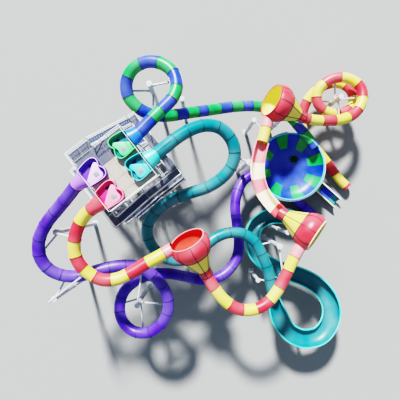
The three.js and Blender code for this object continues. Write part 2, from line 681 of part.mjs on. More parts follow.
// Leg frames under the deck and outside the stairs, one braced frame on each side
function legFrame(b) {
  const top = DECK_Z - DECK.t - GAP;
  const parts = LEG_A.map((a) =>
    towerBox(a - LEG / 2, a + LEG / 2, b - LEG / 2, b + LEG / 2, 0, top),
  );
  parts.push(towerBox(-3.5, 3.2, b - 0.1, b + 0.1, top - 0.25, top));
  for (let i = 0; i < 5; i++) {
    const z = FLIGHT_RISE * (i + 1) - WALK_T - GAP;
    const right = i % 2 === 0;
    const carries = right ? b > 1 : b < -1;
    const a0 = carries && !right ? -4.7 : -3.5;
    const a1 = carries && right ? 4.4 : 3.2;
    parts.push(towerBox(a0, a1, b - 0.1, b + 0.1, z - 0.25, z));
    const z0 = z - FLIGHT_RISE + 0.35;
    parts.push(rod(world(-3.45, b, Math.max(z0, 0.3)), world(0, b, z - 0.3), 0.07, 4));
    parts.push(rod(world(3.1, b, Math.max(z0, 0.3)), world(0, b, z - 0.3), 0.07, 4));
  }
  return union(parts);
}
for (const [name, b] of [["frame_left", -LEG_B], ["frame_middle", 0], ["frame_right", LEG_B]])
  add(name, legFrame(b), "steel");

// Rail round the deck
function railing(points, z) {
  const parts = [];
  const h = 1.1;
  for (let i = 0; i + 1 < points.length; i++) {
    const [a0, b0] = points[i];
    const [a1, b1] = points[i + 1];
    const p = world(a0, b0, 0);
    const q = world(a1, b1, 0);
    for (const up of [0.55, h])
      parts.push(rod([p[0], p[1], z + up], [q[0], q[1], z + up], 0.04, 4));
    const n = Math.max(1, Math.round(Math.hypot(a1 - a0, b1 - b0) / 1.6));
    for (let k = 0; k <= n; k++) {
      const w = world(a0 + ((a1 - a0) * k) / n, b0 + ((b1 - b0) * k) / n, 0);
      parts.push(rod([w[0], w[1], z], [w[0], w[1], z + h + 0.03], 0.045, 4));
    }
  }
  return union(parts);
}
// The side rail carries the bars that run over the tubs along both front edges
const BAR_HIGH = 1.75;
function frontBar(b, posts) {
  const z = DECK_Z + GAP;
  const high = z + BAR_HIGH;
  const last = posts[posts.length - 1];
  const parts = [rod(world(posts[0], b, high), world(last, b, high), 0.045, 4)];
  for (const a of posts) parts.push(rod(world(a, b, z), world(a, b, high + 0.03), 0.05, 4));
  return parts;
}
add(
  "deck_rail_side",
  union([
    railing([[3.22, -3.2], [3.22, 3.2]], DECK_Z + GAP),
    ...frontBar(-3.2, [3.22, 0.1, -2.95]),
    ...frontBar(3.2, [3.22, -0.22, -3.3]),
  ]),
  "rail",
);
add("deck_rail_back", railing([[-3.6, 3.26], [-3.6, -0.4]], DECK_Z + GAP), "rail");
add(
  "deck_rail_low",
  railing([[-4.68, -0.7], [-4.68, -3.26], [-3.2, -3.26]], DECK_Z + GAP),
  "rail",
);

// Columns with arms that carry the tubes
const paths = { purple, turquoise, wide, blue, bowlChute, redTop, redMiddle, redFlume, coil };
const UNDER = { wide: 0.85, redFlume: 0.75, bowlChute: 0.75 };
function column(x, y, top, r, arms) {
  const parts = [rod([x, y, 0], [x, y, top], r, 10)];
  for (const [key, ax, ay, zMin, zMax] of arms) {
    const { p } = paths[key].near(ax, ay, zMin, zMax);
    const under = p.z - (UNDER[key] ?? TUBE_R);
    const z = Math.max(under - 0.45, 0.15);
    if (Math.hypot(p.x - x, p.y - y) > 0.3) parts.push(rod([x, y, z], [p.x, p.y, z], 0.13, 6));
    parts.push(rod([p.x, p.y, z - 0.13], [p.x, p.y, under + 0.12], 0.16, 6));
  }
  return biggest(clearOf(union(parts)));
}
const COLUMNS = [
  ["column_1", -17.0, -3.81, 16.4, 0.3, [["purple", -18.85, -6.1], ["redTop", -14.3, -4.5]]],
  ["column_2", -18.0, -12.2, 14.5, 0.3, [["purple", -16.35, -9.2], ["redTop", -13.07, -8.33]]],
  ["column_3", -8.17, -13.7, 12.0, 0.3, [
    ["purple", -4.2, -14.0, 11], ["purple", -11.0, -14.5, 8], ["purple", -7.8, -17.7],
    ["purple", -7.5, -8.6, 12]]],
  ["column_4", 10.25, -5.97, 12.6, 0.3, [["redMiddle", 10.75, -9.7], ["turquoise", 8.0, -6.4, 8]]],
  ["column_5", 19.9, 14.6, 8.0, 0.3, [
    ["coil", 17.2, 14.9, 5.5, 6.4], ["coil", 20.0, 11.34, 7.5], ["coil", 23.1, 15.0, 7],
    ["coil", 20.0, 17.7, 6]]],
  ["column_6", 6.04, 4.7, 14.4, 0.3, [["turquoise", 4.1, 5.4, 15], ["redFlume", 7.65, 4.79]]],
  ["column_7", -2.33, 13.1, 12.2, 0.26, [["blue", -1.8, 11.1, 11.5, 13]]],
  ["column_8", 7.4, 10.9, 9.6, 0.26, [["redFlume", 8.95, 9.2]]],
  ["column_9", 8.3, -11.46, 7.2, 0.26, [["turquoise", 10.0, -11.8, 7]]],
  ["column_10", -5.96, 13.6, 16.8, 0.28, [
    ["blue", -2.9, 14.2, 16], ["blue", -8.9, 13.6, 14.6, 16], ["blue", -6.0, 10.7, 13, 14.5]]],
];
for (const [name, x, y, top, r, arms] of COLUMNS)
  add(name, column(x, y, top, r, arms), "steel");

// Low posts straight under the slides
const POSTS = [
  ["post_1", "purple", -2.1, -10.8], ["post_2", "purple", 5.3, -0.5], ["post_3", "purple", 14.2, 0.7],
  ["post_4", "wide", 15.0, -20.2], ["post_5", "wide", 19.5, -16.2], ["post_6", "wide", 8.0, -5.8],
  ["post_7", "coil", 16.1, 11.0], ["post_8", "coil", 20.5, 5.4], ["post_9", "bowlChute", 18.6, 2.3],
];
for (const [name, key, x, y] of POSTS) {
  const { p } = paths[key].near(x, y, 0, key === "coil" ? 2.6 : 99);
  const at = [key, p.x, p.y, 0, p.z + 0.3];
  add(name, column(p.x, p.y, p.z - (UNDER[key] ?? TUBE_R) - 0.2, 0.2, [at]), "steel");
}

// Columns straight under the funnels
const FUNNEL_COLUMNS = [
  ["funnel_column_1", f1, 0.9, -8.7, 13.6], ["funnel_column_2", f2, 11.4, -4.2, 12.2],
  ["funnel_column_3", f3, 11.2, 11.2, 9.3],
];
for (const [name, f, x, y, top] of FUNNEL_COLUMNS) {
  const post = rod([x, y, 0], [x, y, top], 0.26, 10);
  add(name, lowest(clearOf(post.subtract(f.body))), "steel");
}
function lowest(made) {
  return made.decompose().sort((a, b) => a.boundingBox().min[2] - b.boundingBox().min[2])[0];
}

// Stand of the bowl: a ring under its rim, open where the tube comes in, on legs
const STAND = { from: 95, to: 378, legs: [97, 145, 215, 262, 322, 372], r0: 4.84, r1: 5.06 };
function bowlStand() {
  const top = BOWL.rim - 0.09 - GAP;
  const middle = (STAND.r0 + STAND.r1) / 2;
  const spot = (deg, z) => {
    const a = (deg * Math.PI) / 180;
    return [BOWL.x + middle * Math.cos(a), BOWL.y + middle * Math.sin(a), z];
  };
  const frames = [];
  const n = 20;
  for (let i = 0; i <= n; i++) {
    const deg = STAND.from + ((STAND.to - STAND.from) * i) / n;
    const a = (deg * Math.PI) / 180;
    frames.push(frameAt(spot(deg, top - 0.1), [-Math.sin(a), Math.cos(a), 0]));
  }
  const half = (STAND.r1 - STAND.r0) / 2;
  const hoop = sweep(frames, () => [[-half, -0.1], [half, -0.1], [half, 0.1], [-half, 0.1]]);
  const legs = STAND.legs.map((deg) => rod(spot(deg, 0), spot(deg, top - 0.05), 0.12, 8));
  return biggest(clearOf(union([hoop, ...legs])));
}
add("bowl_stand", bowlStand(), "steel");

// The whole model stands on its feet, centred on the origin
root.scale.set(1, 1, 1);
const bounds = new THREE.Box3().setFromObject(root);
const middle = bounds.getCenter(new THREE.Vector3());
root.position.set(-middle.x, -middle.y, -bounds.min.z);
root.updateMatrixWorld(true);

export default root;
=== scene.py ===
"""Water slide tower, a 1:2 scale model: the pieces and finishes that dress its CAD frame."""

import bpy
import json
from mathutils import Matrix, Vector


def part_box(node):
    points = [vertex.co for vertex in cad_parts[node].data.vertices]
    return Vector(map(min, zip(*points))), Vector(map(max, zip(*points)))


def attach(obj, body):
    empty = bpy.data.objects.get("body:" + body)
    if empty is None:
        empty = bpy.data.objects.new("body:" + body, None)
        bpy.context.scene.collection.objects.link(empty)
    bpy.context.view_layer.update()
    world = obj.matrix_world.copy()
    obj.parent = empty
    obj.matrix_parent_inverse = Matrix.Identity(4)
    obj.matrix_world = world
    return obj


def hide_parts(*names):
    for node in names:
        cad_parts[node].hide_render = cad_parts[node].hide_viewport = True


bl_info = {
    "name": "Water Slide Tower",
    "version": (1, 0, 0),
    "blender": (4, 5, 0),
    "location": "View3D > Sidebar > Slide Tower",
    "description": "Slides, funnels, bowl, start deck, stairs and columns of a water slide tower",
    "category": "Object",
}

import json
import math
from contextlib import contextmanager

import bmesh
import bpy
from bpy.props import FloatProperty, FloatVectorProperty, IntProperty, PointerProperty
from mathutils import Matrix, Vector

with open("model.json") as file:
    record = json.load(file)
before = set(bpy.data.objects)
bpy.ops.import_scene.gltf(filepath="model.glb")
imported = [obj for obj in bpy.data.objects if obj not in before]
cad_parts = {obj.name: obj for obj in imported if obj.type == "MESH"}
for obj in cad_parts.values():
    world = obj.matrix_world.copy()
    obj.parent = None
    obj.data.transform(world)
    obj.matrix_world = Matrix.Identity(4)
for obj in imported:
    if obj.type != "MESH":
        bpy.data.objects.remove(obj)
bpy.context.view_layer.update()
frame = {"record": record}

# Shared sizes and routes: tables are in real metres, HALF makes them model metres
HALF = 0.5
TOWER = (-9.14, 3.28)
YAW = math.radians(37.9)
DECK_Z = 19.0
FOOT = next(m["pos_m"] for m in frame["record"]["mounts"] if m["name"] == "tower_foot")
SHIFT = Vector((FOOT[0] - TOWER[0] * HALF, FOOT[1] - TOWER[1] * HALF, 0))
EYE_HEIGHT = 60.0
FOCAL, PICTURE = 370, 400  # the camera's focal length and picture width, both in pixels
SENSOR = 36  # the camera's sensor width in millimetres

PURPLE = [
    (-12.37, 2.54, 19.77), (-13.47, 1.68, 19.5), (-14.6, 0.52, 18.85), (-16.08, -0.96, 18.1),
    (-17.63, -2.64, 17.5), (-18.75, -4.66, 16.9), (-18.9, -6.73, 16.3), (-17.96, -8.38, 15.7),
    (-16.35, -9.2, 15.2), (-14.68, -9.29, 14.75), (-13.09, -8.83, 14.3), (-11.34, -8.41, 13.9),
    (-9.43, -8.23, 13.5), (-7.49, -8.64, 13.0), (-5.78, -9.89, 12.5), (-4.54, -11.81, 12.0),
    (-4.13, -14.03, 11.5), (-4.9, -16.16, 11.0), (-6.68, -17.64, 10.55), (-8.9, -17.73, 10.1),
    (-10.54, -16.45, 9.7), (-11.03, -14.52, 9.3), (-10.42, -12.56, 8.95), (-8.74, -11.1, 8.65),
    (-6.7, -10.4, 8.35), (-4.49, -10.32, 8.05), (-2.12, -10.81, 7.7), (0.43, -11.39, 7.3),
    (2.44, -11.18, 6.95), (4.19, -10.1, 6.6), (5.38, -8.29, 6.2), (5.71, -6.01, 5.8),
    (5.46, -3.54, 5.4), (5.21, -1.04, 4.95), (5.62, 1.2, 4.5), (6.65, 3.02, 4.1),
    (8.37, 3.96, 3.7), (10.29, 3.53, 3.2), (12.57, 2.02, 2.6), (15.07, 0.0, 1.9),
    (17.13, -1.75, 1.3), (18.48, -2.87, 1.05),
]
TURQUOISE = [
    (-5.97, 4.1, 19.77), (-4.95, 4.9, 19.5), (-3.82, 5.95, 18.85), (-2.49, 7.12, 18.2),
    (-0.92, 8.14, 17.6), (0.7, 8.66, 17.1), (2.23, 8.5, 16.6), (3.44, 7.59, 16.1),
    (4.14, 6.12, 15.6), (4.0, 4.49, 15.1), (2.94, 2.94, 14.6), (1.12, 1.68, 14.0),
    (-1.26, 0.88, 13.4), (-3.56, 0.06, 12.9), (-5.46, -1.16, 12.45), (-6.68, -2.85, 12.0),
    (-6.88, -4.72, 11.5), (-6.08, -6.48, 11.1), (-4.52, -7.71, 10.8), (-2.68, -8.09, 10.5),
    (-0.81, -7.54, 10.2), (0.54, -6.36, 9.9), (2.04, -5.18, 9.6), (3.84, -4.52, 9.3),
    (5.79, -4.62, 9.0), (7.49, -5.68, 8.7), (8.65, -7.67, 8.4), (9.56, -9.84, 8.0),
    (10.06, -12.04, 7.6), (10.49, -13.84, 7.2),
]
WIDE_FLUME = [
    (10.49, -13.84, 7.2), (10.96, -15.62, 6.83), (11.72, -17.51, 6.45), (13.11, -19.37, 6.1),
    (15.25, -20.31, 5.75), (17.71, -19.92, 5.4), (19.29, -17.95, 5.1), (19.54, -15.66, 4.8),
    (18.47, -13.51, 4.45), (16.45, -12.0, 4.15), (14.1, -11.07, 3.9), (11.74, -10.52, 3.6),
    (9.8, -9.49, 3.35), (8.31, -7.7, 3.05), (7.96, -5.57, 2.8), (8.7, -3.73, 2.5),
    (10.47, -2.58, 2.2), (12.72, -2.36, 1.9), (15.18, -3.16, 1.5), (17.19, -4.93, 1.1),
]
BLUE = [
    (-7.85, 6.5, 19.77), (-6.82, 7.3, 19.5), (-5.5, 8.9, 18.75), (-4.18, 10.39, 18.2),
    (-3.08, 11.76, 17.75), (-2.71, 13.26, 17.35), (-3.26, 15.03, 16.9), (-4.7, 16.11, 16.5),
    (-6.41, 16.37, 16.1), (-8.02, 15.68, 15.7), (-8.88, 14.26, 15.3), (-8.78, 12.68, 14.9),
    (-7.75, 11.44, 14.5), (-6.22, 10.69, 14.0), (-4.41, 10.58, 13.4), (-2.31, 11.02, 12.6),
    (-1.17, 11.35, 12.0), (0.66, 11.84, 10.9), (2.71, 12.41, 9.8), (4.85, 12.94, 8.7),
    (7.05, 13.26, 7.8), (8.99, 13.27, 7.2), (11.05, 12.92, 6.9), (12.96, 11.96, 6.7),
    (14.29, 10.54, 6.6), (15.7, 8.9, 6.5), (16.6, 7.6, 6.45),
]
BOWL_CHUTE = [
    (13.55, 6.65, 3.5), (14.2, 5.95, 3.3), (15.49, 4.96, 2.7), (16.92, 3.76, 2.05),
    (18.15, 2.68, 1.6), (20.02, 1.11, 1.2), (21.85, -0.48, 1.0),
]
RED_TOP = [
    (-10.46, 0.1, 19.77), (-11.49, -0.7, 19.5), (-12.78, -1.66, 18.85), (-13.86, -3.27, 18.3),
    (-14.35, -5.24, 17.85), (-14.07, -7.01, 17.5), (-13.07, -8.33, 17.2), (-11.52, -9.25, 16.95),
    (-9.71, -9.25, 16.7), (-7.99, -8.46, 16.5), (-6.5, -7.56, 16.3), (-5.1, -6.81, 16.15),
    (-3.81, -6.08, 15.9), (-2.41, -5.29, 15.5),
]
RED_MIDDLE = [
    (0.8, -9.31, 13.93), (1.3, -10.24, 13.8), (1.85, -11.12, 13.75), (3.01, -12.53, 13.65),
    (4.64, -13.62, 13.55), (6.42, -13.84, 13.45), (8.2, -13.18, 13.35), (9.6, -11.75, 13.25),
    (10.75, -9.74, 13.2), (11.65, -7.85, 13.15), (12.42, -6.46, 13.1), (13.24, -5.09, 12.9),
]
RED_FLUME = [
    (10.55, -1.65, 11.12), (9.54, -0.66, 10.97), (8.29, 1.06, 10.9), (7.7, 2.92, 10.85),
    (7.65, 4.79, 10.8), (7.99, 6.66, 10.75), (8.53, 8.53, 10.7), (8.95, 10.15, 10.6),
    (9.38, 11.8, 10.4),
]
COIL = [
    (14.22, 11.38, 8.89), (16.01, 11.1, 8.5), (17.92, 11.13, 8.2), (20.0, 11.34, 7.9),
    (21.95, 12.32, 7.6), (23.07, 14.1, 7.3), (23.06, 16.04, 7.0), (21.73, 17.34, 6.75),
    (19.81, 17.71, 6.5), (18.16, 17.0, 6.25), (17.08, 15.62, 6.0), (17.3, 14.08, 5.75),
    (18.87, 12.97, 5.45), (20.9, 12.82, 5.15), (22.51, 13.86, 4.85), (23.0, 15.44, 4.55),
    (22.3, 16.95, 4.25), (20.77, 17.74, 3.9), (18.94, 17.48, 3.5), (17.38, 16.38, 3.1),
    (16.34, 14.87, 2.7), (15.89, 12.78, 2.35), (16.13, 10.81, 2.05), (17.3, 9.12, 1.8),
    (19.13, 7.11, 1.5), (20.8, 5.08, 1.25), (22.29, 3.18, 1.1), (23.42, 2.07, 1.05),
]

# Where the colours change along each slide, in real metres from its start
RED_TOP_JOINTS = [2.0, 4.2, 6.5, 8.4, 10.1, 11.7, 13.7, 15.8, 18.3, 20.6]
# The last section takes the paler sunlit red: painted sunlight
RED_TOP_COLOURS = "salmon yellow red yellow red yellow red yellow red yellow pink".split()
RED_MIDDLE_JOINTS = [2.0, 4.8, 6.7, 8.5, 10.5, 12.5, 14.9, 16.8]
# The last section takes the paler sunlit red: painted sunlight
RED_MIDDLE_COLOURS = "red yellow red yellow red yellow red yellow pink".split()
BLUE_JOINTS = [
    1.45, 3.6, 5.2, 7.1, 8.8, 10.7, 13.0, 15.3, 17.6, 19.9, 21.8, 23.4, 25.0, 26.7, 28.1,
    29.7, 31.2, 33.3, 35.1, 36.9, 38.5, 40.0, 41.8, 43.6, 44.6, 45.98, 47.64,
    49.41,
]
# The first section takes the paler sunlit blue: painted sunlight on the flared mouth
BLUE_COLOURS = ["azure"] + ["blue", "green"] * 5 + ["blue"] + ["blue", "green"] * 8 + ["blue"]
COIL_JOINTS = [
    0.9, 2.9, 4.8, 7.0, 8.8, 10.8, 13.0, 15.6, 18.1, 20.4, 22.6, 24.8, 27.0, 29.2, 31.4, 33.6,
    35.8, 38.0, 40.2, 42.5, 44.8, 47.1, 49.0, 51.2, 53.7,
]
COIL_COLOURS = ["red", "yellow"] * 11 + ["yellow", "red"] * 2
FLUME_JOINTS = [0.9, 3.6, 5.4, 7.6]
# Past the first, the flume's sections take the paler sunlit yellow and red: painted sunlight on its open
# inside
FLUME_COLOURS = ["red", "cream", "pink", "cream", "pink"]
CHUTE_JOINTS = [4.3, 6.2, 8.02, 10.08]
CHUTE_COLOURS = ["green", "blue", "green", "blue", "turquoise"]
FLUME_CLOSES = (8.3, 7.7)  # where the red flume becomes a tube again

# Depths of the open slides, in model metres
WIDE_DEPTH = 0.425
CHUTE_DEPTH = 0.375


# Places and directions
def spot(x, y, z=0.0):
    """A point given in real metres, in the model."""
    return Vector((x * HALF, y * HALF, z * HALF)) + SHIFT


def tower_frame(z=0.0):
    """The tower's own axes at a height in real metres: x runs along its exits, y across them."""
    return Matrix.Translation(spot(*TOWER, z)) @ Matrix.Rotation(YAW, 4, "Z")


class Route:
    """A slide's centre line, a smooth curve through its waypoints, measured in model metres."""

    def __init__(self, waypoints, fine=14):
        p = [Vector(w) for w in waypoints]
        p = [2 * p[0] - p[1]] + p + [2 * p[-1] - p[-2]]
        line = []
        for i in range(1, len(p) - 2):
            q = p[i - 1 : i + 3]
            t = [math.sqrt((q[k + 1] - q[k]).length) for k in range(3)]
            a = ((q[1] - q[0]) / t[0] - (q[2] - q[0]) / (t[0] + t[1]) + (q[2] - q[1]) / t[1]) * t[1]
            b = ((q[2] - q[1]) / t[1] - (q[3] - q[1]) / (t[1] + t[2]) + (q[3] - q[2]) / t[2]) * t[1]
            for k in range(fine):
                u = k / fine
                line.append(
                    q[1] + a * u + (3 * (q[2] - q[1]) - 2 * a - b) * u * u
                    + (2 * (q[1] - q[2]) + a + b) * u ** 3
                )
        line.append(p[-2])
        self.line = [spot(*v) for v in line]
        self.far = [0.0]
        for a, b in zip(self.line, self.line[1:]):
            self.far.append(self.far[-1] + (b - a).length)
        self.length = self.far[-1]

    def at(self, s):
        """The point and direction at a distance."""
        s = min(max(s, 0.0), self.length)
        i = min(max(sum(f <= s for f in self.far) - 1, 0), len(self.line) - 2)
        step = self.line[i + 1] - self.line[i]
        return self.line[i] + step * ((s - self.far[i]) / step.length), step.normalized()

    def turning(self, s):
        """How sharply it turns left, in radians per real metre."""
        a, b = self.at(s - 0.6)[1], self.at(s + 0.6)[1]
        turn = math.atan2(b.y, b.x) - math.atan2(a.y, a.x)
        return ((turn + math.pi) % (2 * math.pi) - math.pi) / 2.4

    def axes(self, s):
        """A matrix whose x runs along the slide, z upwards, at a distance."""
        p, t = self.at(s)
        return facing(p, t)

    def near(self, x, y, low=-1.0, high=99.0):
        """The distance nearest to a place in real metres, between two heights."""
        want = spot(x, y)
        found = [
            ((v.xy - want.xy).length, s)
            for v, s in zip(self.line, self.far)
            if low * HALF <= v.z <= high * HALF
        ]
        return min(found)[1]


def facing(p, t):
    """A matrix at p whose x axis is t and whose z axis points as far up as it can."""
    t = t.normalized()
    side = Vector((0, 0, 1)).cross(t)
    side = side.normalized() if side.length > 1e-6 else Vector((0, 1, 0))
    m = Matrix((t, side, t.cross(side))).transposed().to_4x4()
    m.translation = p
    return m


# Modelling steps
def select_only(*objects):
    """Object mode, with only these objects selected and the last one active."""
    if bpy.context.mode != "OBJECT":
        bpy.ops.object.mode_set(mode="OBJECT")
    bpy.ops.object.select_all(action="DESELECT")
    for o in objects:
        o.select_set(True)
    bpy.context.view_layer.objects.active = objects[-1]


def deselected():
    """Deselects everything, before a primitive is added."""
    if bpy.context.selected_objects:
        bpy.ops.object.select_all(action="DESELECT")


def named(o, name):
    """Names a piece and its mesh."""
    o.name = o.data.name = name
    return o


@contextmanager
def editing(o, selected=True):
    """Edit mode on one piece with all or none of it selected, and object mode again at the end."""
    select_only(o)
    bpy.ops.object.mode_set(mode="EDIT")
    bpy.ops.mesh.select_all(action="SELECT" if selected else "DESELECT")
    yield
    bpy.ops.object.mode_set(mode="OBJECT")


def drawn(name, points, closed=False):
    """A chain of edges, extruded point by point."""
    deselected()
    bpy.ops.mesh.primitive_plane_add(size=0.01, location=(0, 0, 0))
    o = named(bpy.context.object, name)
    points = [Vector(p) for p in points]
    bpy.ops.object.mode_set(mode="EDIT")
    bpy.ops.mesh.select_mode(type="VERT")
    bpy.ops.mesh.merge(type="CENTER")
    bpy.ops.transform.translate(value=points[0])
    for a, b in zip(points, points[1:]):
        bpy.ops.mesh.extrude_region_move(TRANSFORM_OT_translate={"value": b - a})
    if closed:
        bpy.ops.mesh.select_all(action="DESELECT")
        cage = bmesh.from_edit_mesh(o.data)
        cage.verts.ensure_lookup_table()
        for v in (cage.verts[0], cage.verts[-1]):
            v.select_set(True)
        bmesh.update_edit_mesh(o.data)
        bpy.ops.mesh.edge_face_add()
    bpy.ops.object.mode_set(mode="OBJECT")
    return o


def turned(name, profile, steps=24, axis="X"):
    """A shape of revolution: a profile of (along, radius) pairs, spun about the X or Z axis."""
    upright = axis == "Z"
    o = drawn(name, [(r, 0, s) if upright else (s, 0, r) for s, r in profile])
    with editing(o):
        bpy.ops.mesh.spin(steps=steps, angle=2 * math.pi, center=(0, 0, 0),
                          axis=(0, 0, 1) if upright else (1, 0, 0))
        bpy.ops.mesh.select_all(action="SELECT")
        bpy.ops.mesh.remove_doubles(threshold=1e-5)
        bpy.ops.mesh.normals_make_consistent(inside=False)
    return o


def block(name, low, high, bevel=0.0, segments=2):
    """A box between two corners with its edges bevelled."""
    low, high = Vector(low), Vector(high)
    deselected()
    bpy.ops.mesh.primitive_cube_add(size=1, location=(low + high) / 2, scale=high - low)
    o = named(bpy.context.object, name)
    bpy.ops.object.transform_apply(location=True, rotation=True, scale=True)
    if bevel:
        with editing(o):
            bpy.ops.mesh.bevel(offset=bevel, segments=segments, affect="EDGES")
    return o


def placed(o, matrix):
    """Moves a piece by a matrix and puts that into its mesh."""
    o.data.transform(matrix)
    return o


def copies(o, matrices, keep=False):
    """A copy of a piece for each matrix, each with its own mesh."""
    made = []
    for m in matrices:
        c = o.copy()
        c.data = o.data.copy()
        bpy.context.collection.objects.link(c)
        c.data.transform(m)
        made.append(c)
    if not keep:
        bpy.data.objects.remove(o)
    return made


def joined(name, parts):
    """One object from several, kept as the last of them."""
    if len(parts) > 1:
        select_only(*parts)
        bpy.ops.object.join()
    return named(parts[-1], name)


def modified(o, kind, **values):
    """Adds a modifier with these values and applies it."""
    select_only(o)
    m = o.modifiers.new(kind.lower(), kind)
    for key, value in values.items():
        setattr(m, key, value)
    bpy.ops.object.modifier_apply(modifier=m.name)
    return o


def walled(o, thickness, offset=-1.0):
    """Gives a skin its wall."""
    return modified(o, "SOLIDIFY", thickness=thickness, offset=offset, use_even_offset=True)


def cut(o, tool, keep_tool=False):
    """Takes one solid out of another."""
    modified(o, "BOOLEAN", operation="DIFFERENCE", solver="EXACT", object=tool)
    if not keep_tool:
        bpy.data.objects.remove(tool)
    return o


def smooth(o, degrees=35):
    """Smooth shading, except across edges that turn by more than this."""
    select_only(o)
    bpy.ops.object.shade_smooth_by_angle(angle=math.radians(degrees))
    return o


def extruded(name, outline, along, closed=True):
    """A closed outline filled and extruded, or an open one extruded into a strip."""
    o = drawn(name, outline, closed)
    with editing(o):
        if closed:
            bpy.ops.mesh.edge_face_add()
        bpy.ops.mesh.extrude_region_move(TRANSFORM_OT_translate={"value": Vector(along)})
        bpy.ops.mesh.select_all(action="SELECT")
        if closed:
            bpy.ops.mesh.normals_make_consistent(inside=False)
    return o


def pick_points(o, test):
    """Selects only the points that pass a test, in edit mode."""
    bpy.ops.mesh.select_mode(type="VERT")
    bpy.ops.mesh.select_all(action="DESELECT")
    cage = bmesh.from_edit_mesh(o.data)
    for v in cage.verts:
        if test(v):
            v.select_set(True)
    cage.select_flush_mode()
    bmesh.update_edit_mesh(o.data)


def sliced(o, cuts):
    """Divides the edges of a straight piece that run along x."""
    with editing(o, selected=False):
        cage = bmesh.from_edit_mesh(o.data)
        for e in cage.edges:
            if abs(e.verts[0].co.x - e.verts[1].co.x) > 0.01:
                e.select_set(True)
        bmesh.update_edit_mesh(o.data)
        bpy.ops.mesh.subdivide(number_cuts=cuts)
    return o


def flip_if(o, wrong):
    """Turns an open skin's faces round if they point the wrong way."""
    if wrong:
        with editing(o):
            bpy.ops.mesh.flip_normals()
    return o


def lowest_face(o):
    """The face of a piece whose middle lies lowest."""
    return min(o.data.polygons, key=lambda f: f.center.z)


def raised_seam(line, width, height):
    """A dark band that stands out from a line of (x, z) places on the plane y = 0."""
    o = extruded("seam", [(x, -width / 2, z) for x, z in line], (0, width, 0), closed=False)
    flip_if(o, o.data.polygons[0].normal.z < 0)
    return finish_all(walled(o, height, 1.0), "joint")


def finish_all(o, *names):
    """Gives a piece its materials, in order, as slots."""
    o.data.materials.clear()
    for n in names:
        o.data.materials.append(finish(n))
    return o


def colour_by(o, names, test):
    """Gives each face the finish whose place in names the test returns for its centre and normal."""
    index = {n: i for i, n in enumerate(dict.fromkeys(names))}
    finish_all(o, *index)
    for f in o.data.polygons:
        f.material_index = index[test(f.center, f.normal)]
    return o


def dressed(o, slot, *nodes):
    """A finished piece rides on the part and stands for its CAD nodes."""
    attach(o, "root")
    if nodes:
        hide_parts(*nodes)
    return o


def follow(o, route, tilt=None):
    """Bends a straight piece along a slide's centre line."""
    deselected()
    bpy.ops.curve.primitive_nurbs_path_add(location=(0, 0, 0))
    guide = named(bpy.context.object, "guide")
    guide.data.dimensions = "3D"
    guide.data.twist_mode = "Z_UP"
    line = guide.data.splines[0]
    line.type = "POLY"
    line.points.add(len(route.line) - len(line.points))
    for p, v, s in zip(line.points, route.line, route.far):
        p.co = (*v, 1)
        p.tilt = tilt(s) if tilt else 0.0
    modified(o, "CURVE", object=guide, deform_axis="POS_X")
    bpy.data.objects.remove(guide)
    return o


# Finishes
def link(tree, a, b):
    """Joins an output to an input."""
    tree.links.new(a, b)


def group_of(name, amounts):
    """A new node group: a place, a colour and amounts in, a worn colour, roughness and height out."""
    tree = bpy.data.node_groups.new(name, "ShaderNodeTree")
    tree.interface.new_socket("Vector", in_out="INPUT", socket_type="NodeSocketVector")
    tree.interface.new_socket("Colour", in_out="INPUT", socket_type="NodeSocketColor")
    for key, value in amounts.items():
        amount = tree.interface.new_socket(key, in_out="INPUT", socket_type="NodeSocketFloat")
        amount.default_value = value
    tree.interface.new_socket("Colour", in_out="OUTPUT", socket_type="NodeSocketColor")
    for key in ("Roughness", "Height"):
        tree.interface.new_socket(key, in_out="OUTPUT", socket_type="NodeSocketFloat")
    return tree, tree.nodes.new("NodeGroupInput"), tree.nodes.new("NodeGroupOutput")


def node(tree, kind, **values):
    """A new shader node with these inputs or settings."""
    n = tree.nodes.new("ShaderNode" + kind)
    for key, value in values.items():
        if key in n.inputs:
            n.inputs[key].default_value = value
        else:
            setattr(n, key, value)
    return n


def noise(tree, vector, scale, detail=3.0, roughness=0.55, stretch=None):
    """A noise from 0 to 1, stretched along an axis if its scale there is small."""
    if stretch:
        m = node(tree, "Mapping", Scale=stretch)
        link(tree, vector, m.inputs["Vector"])
        vector = m.outputs[0]
    n = node(tree, "TexNoise", Scale=scale, Detail=detail, Roughness=roughness)
    link(tree, vector, n.inputs["Vector"])
    return n.outputs["Fac"]


def ranged(tree, value, a, b, c=0.0, d=1.0):
    """A value from a to b made a value from c to d."""
    n = node(tree, "MapRange")
    for key, v in zip(("From Min", "From Max", "To Min", "To Max"), (a, b, c, d)):
        n.inputs[key].default_value = v
    link(tree, value, n.inputs["Value"])
    return n.outputs["Result"]


def mixed(tree, fac, a, b):
    """Two colours mixed, each a colour or the output of a node."""
    n = node(tree, "Mix", data_type="RGBA")
    for key, v in ((0, fac), (6, a), (7, b)):
        if hasattr(v, "is_output"):
            link(tree, v, n.inputs[key])
        else:
            n.inputs[key].default_value = v
    return n.outputs[2]


def stained(tree, under, mask, amount, stain):
    """A colour with a stain over it, where a mask of 0 to 1 shows and by an amount."""
    n = node(tree, "Math", operation="MULTIPLY")
    link(tree, mask, n.inputs[0])
    link(tree, amount, n.inputs[1])
    return mixed(tree, n.outputs[0], under, stain)


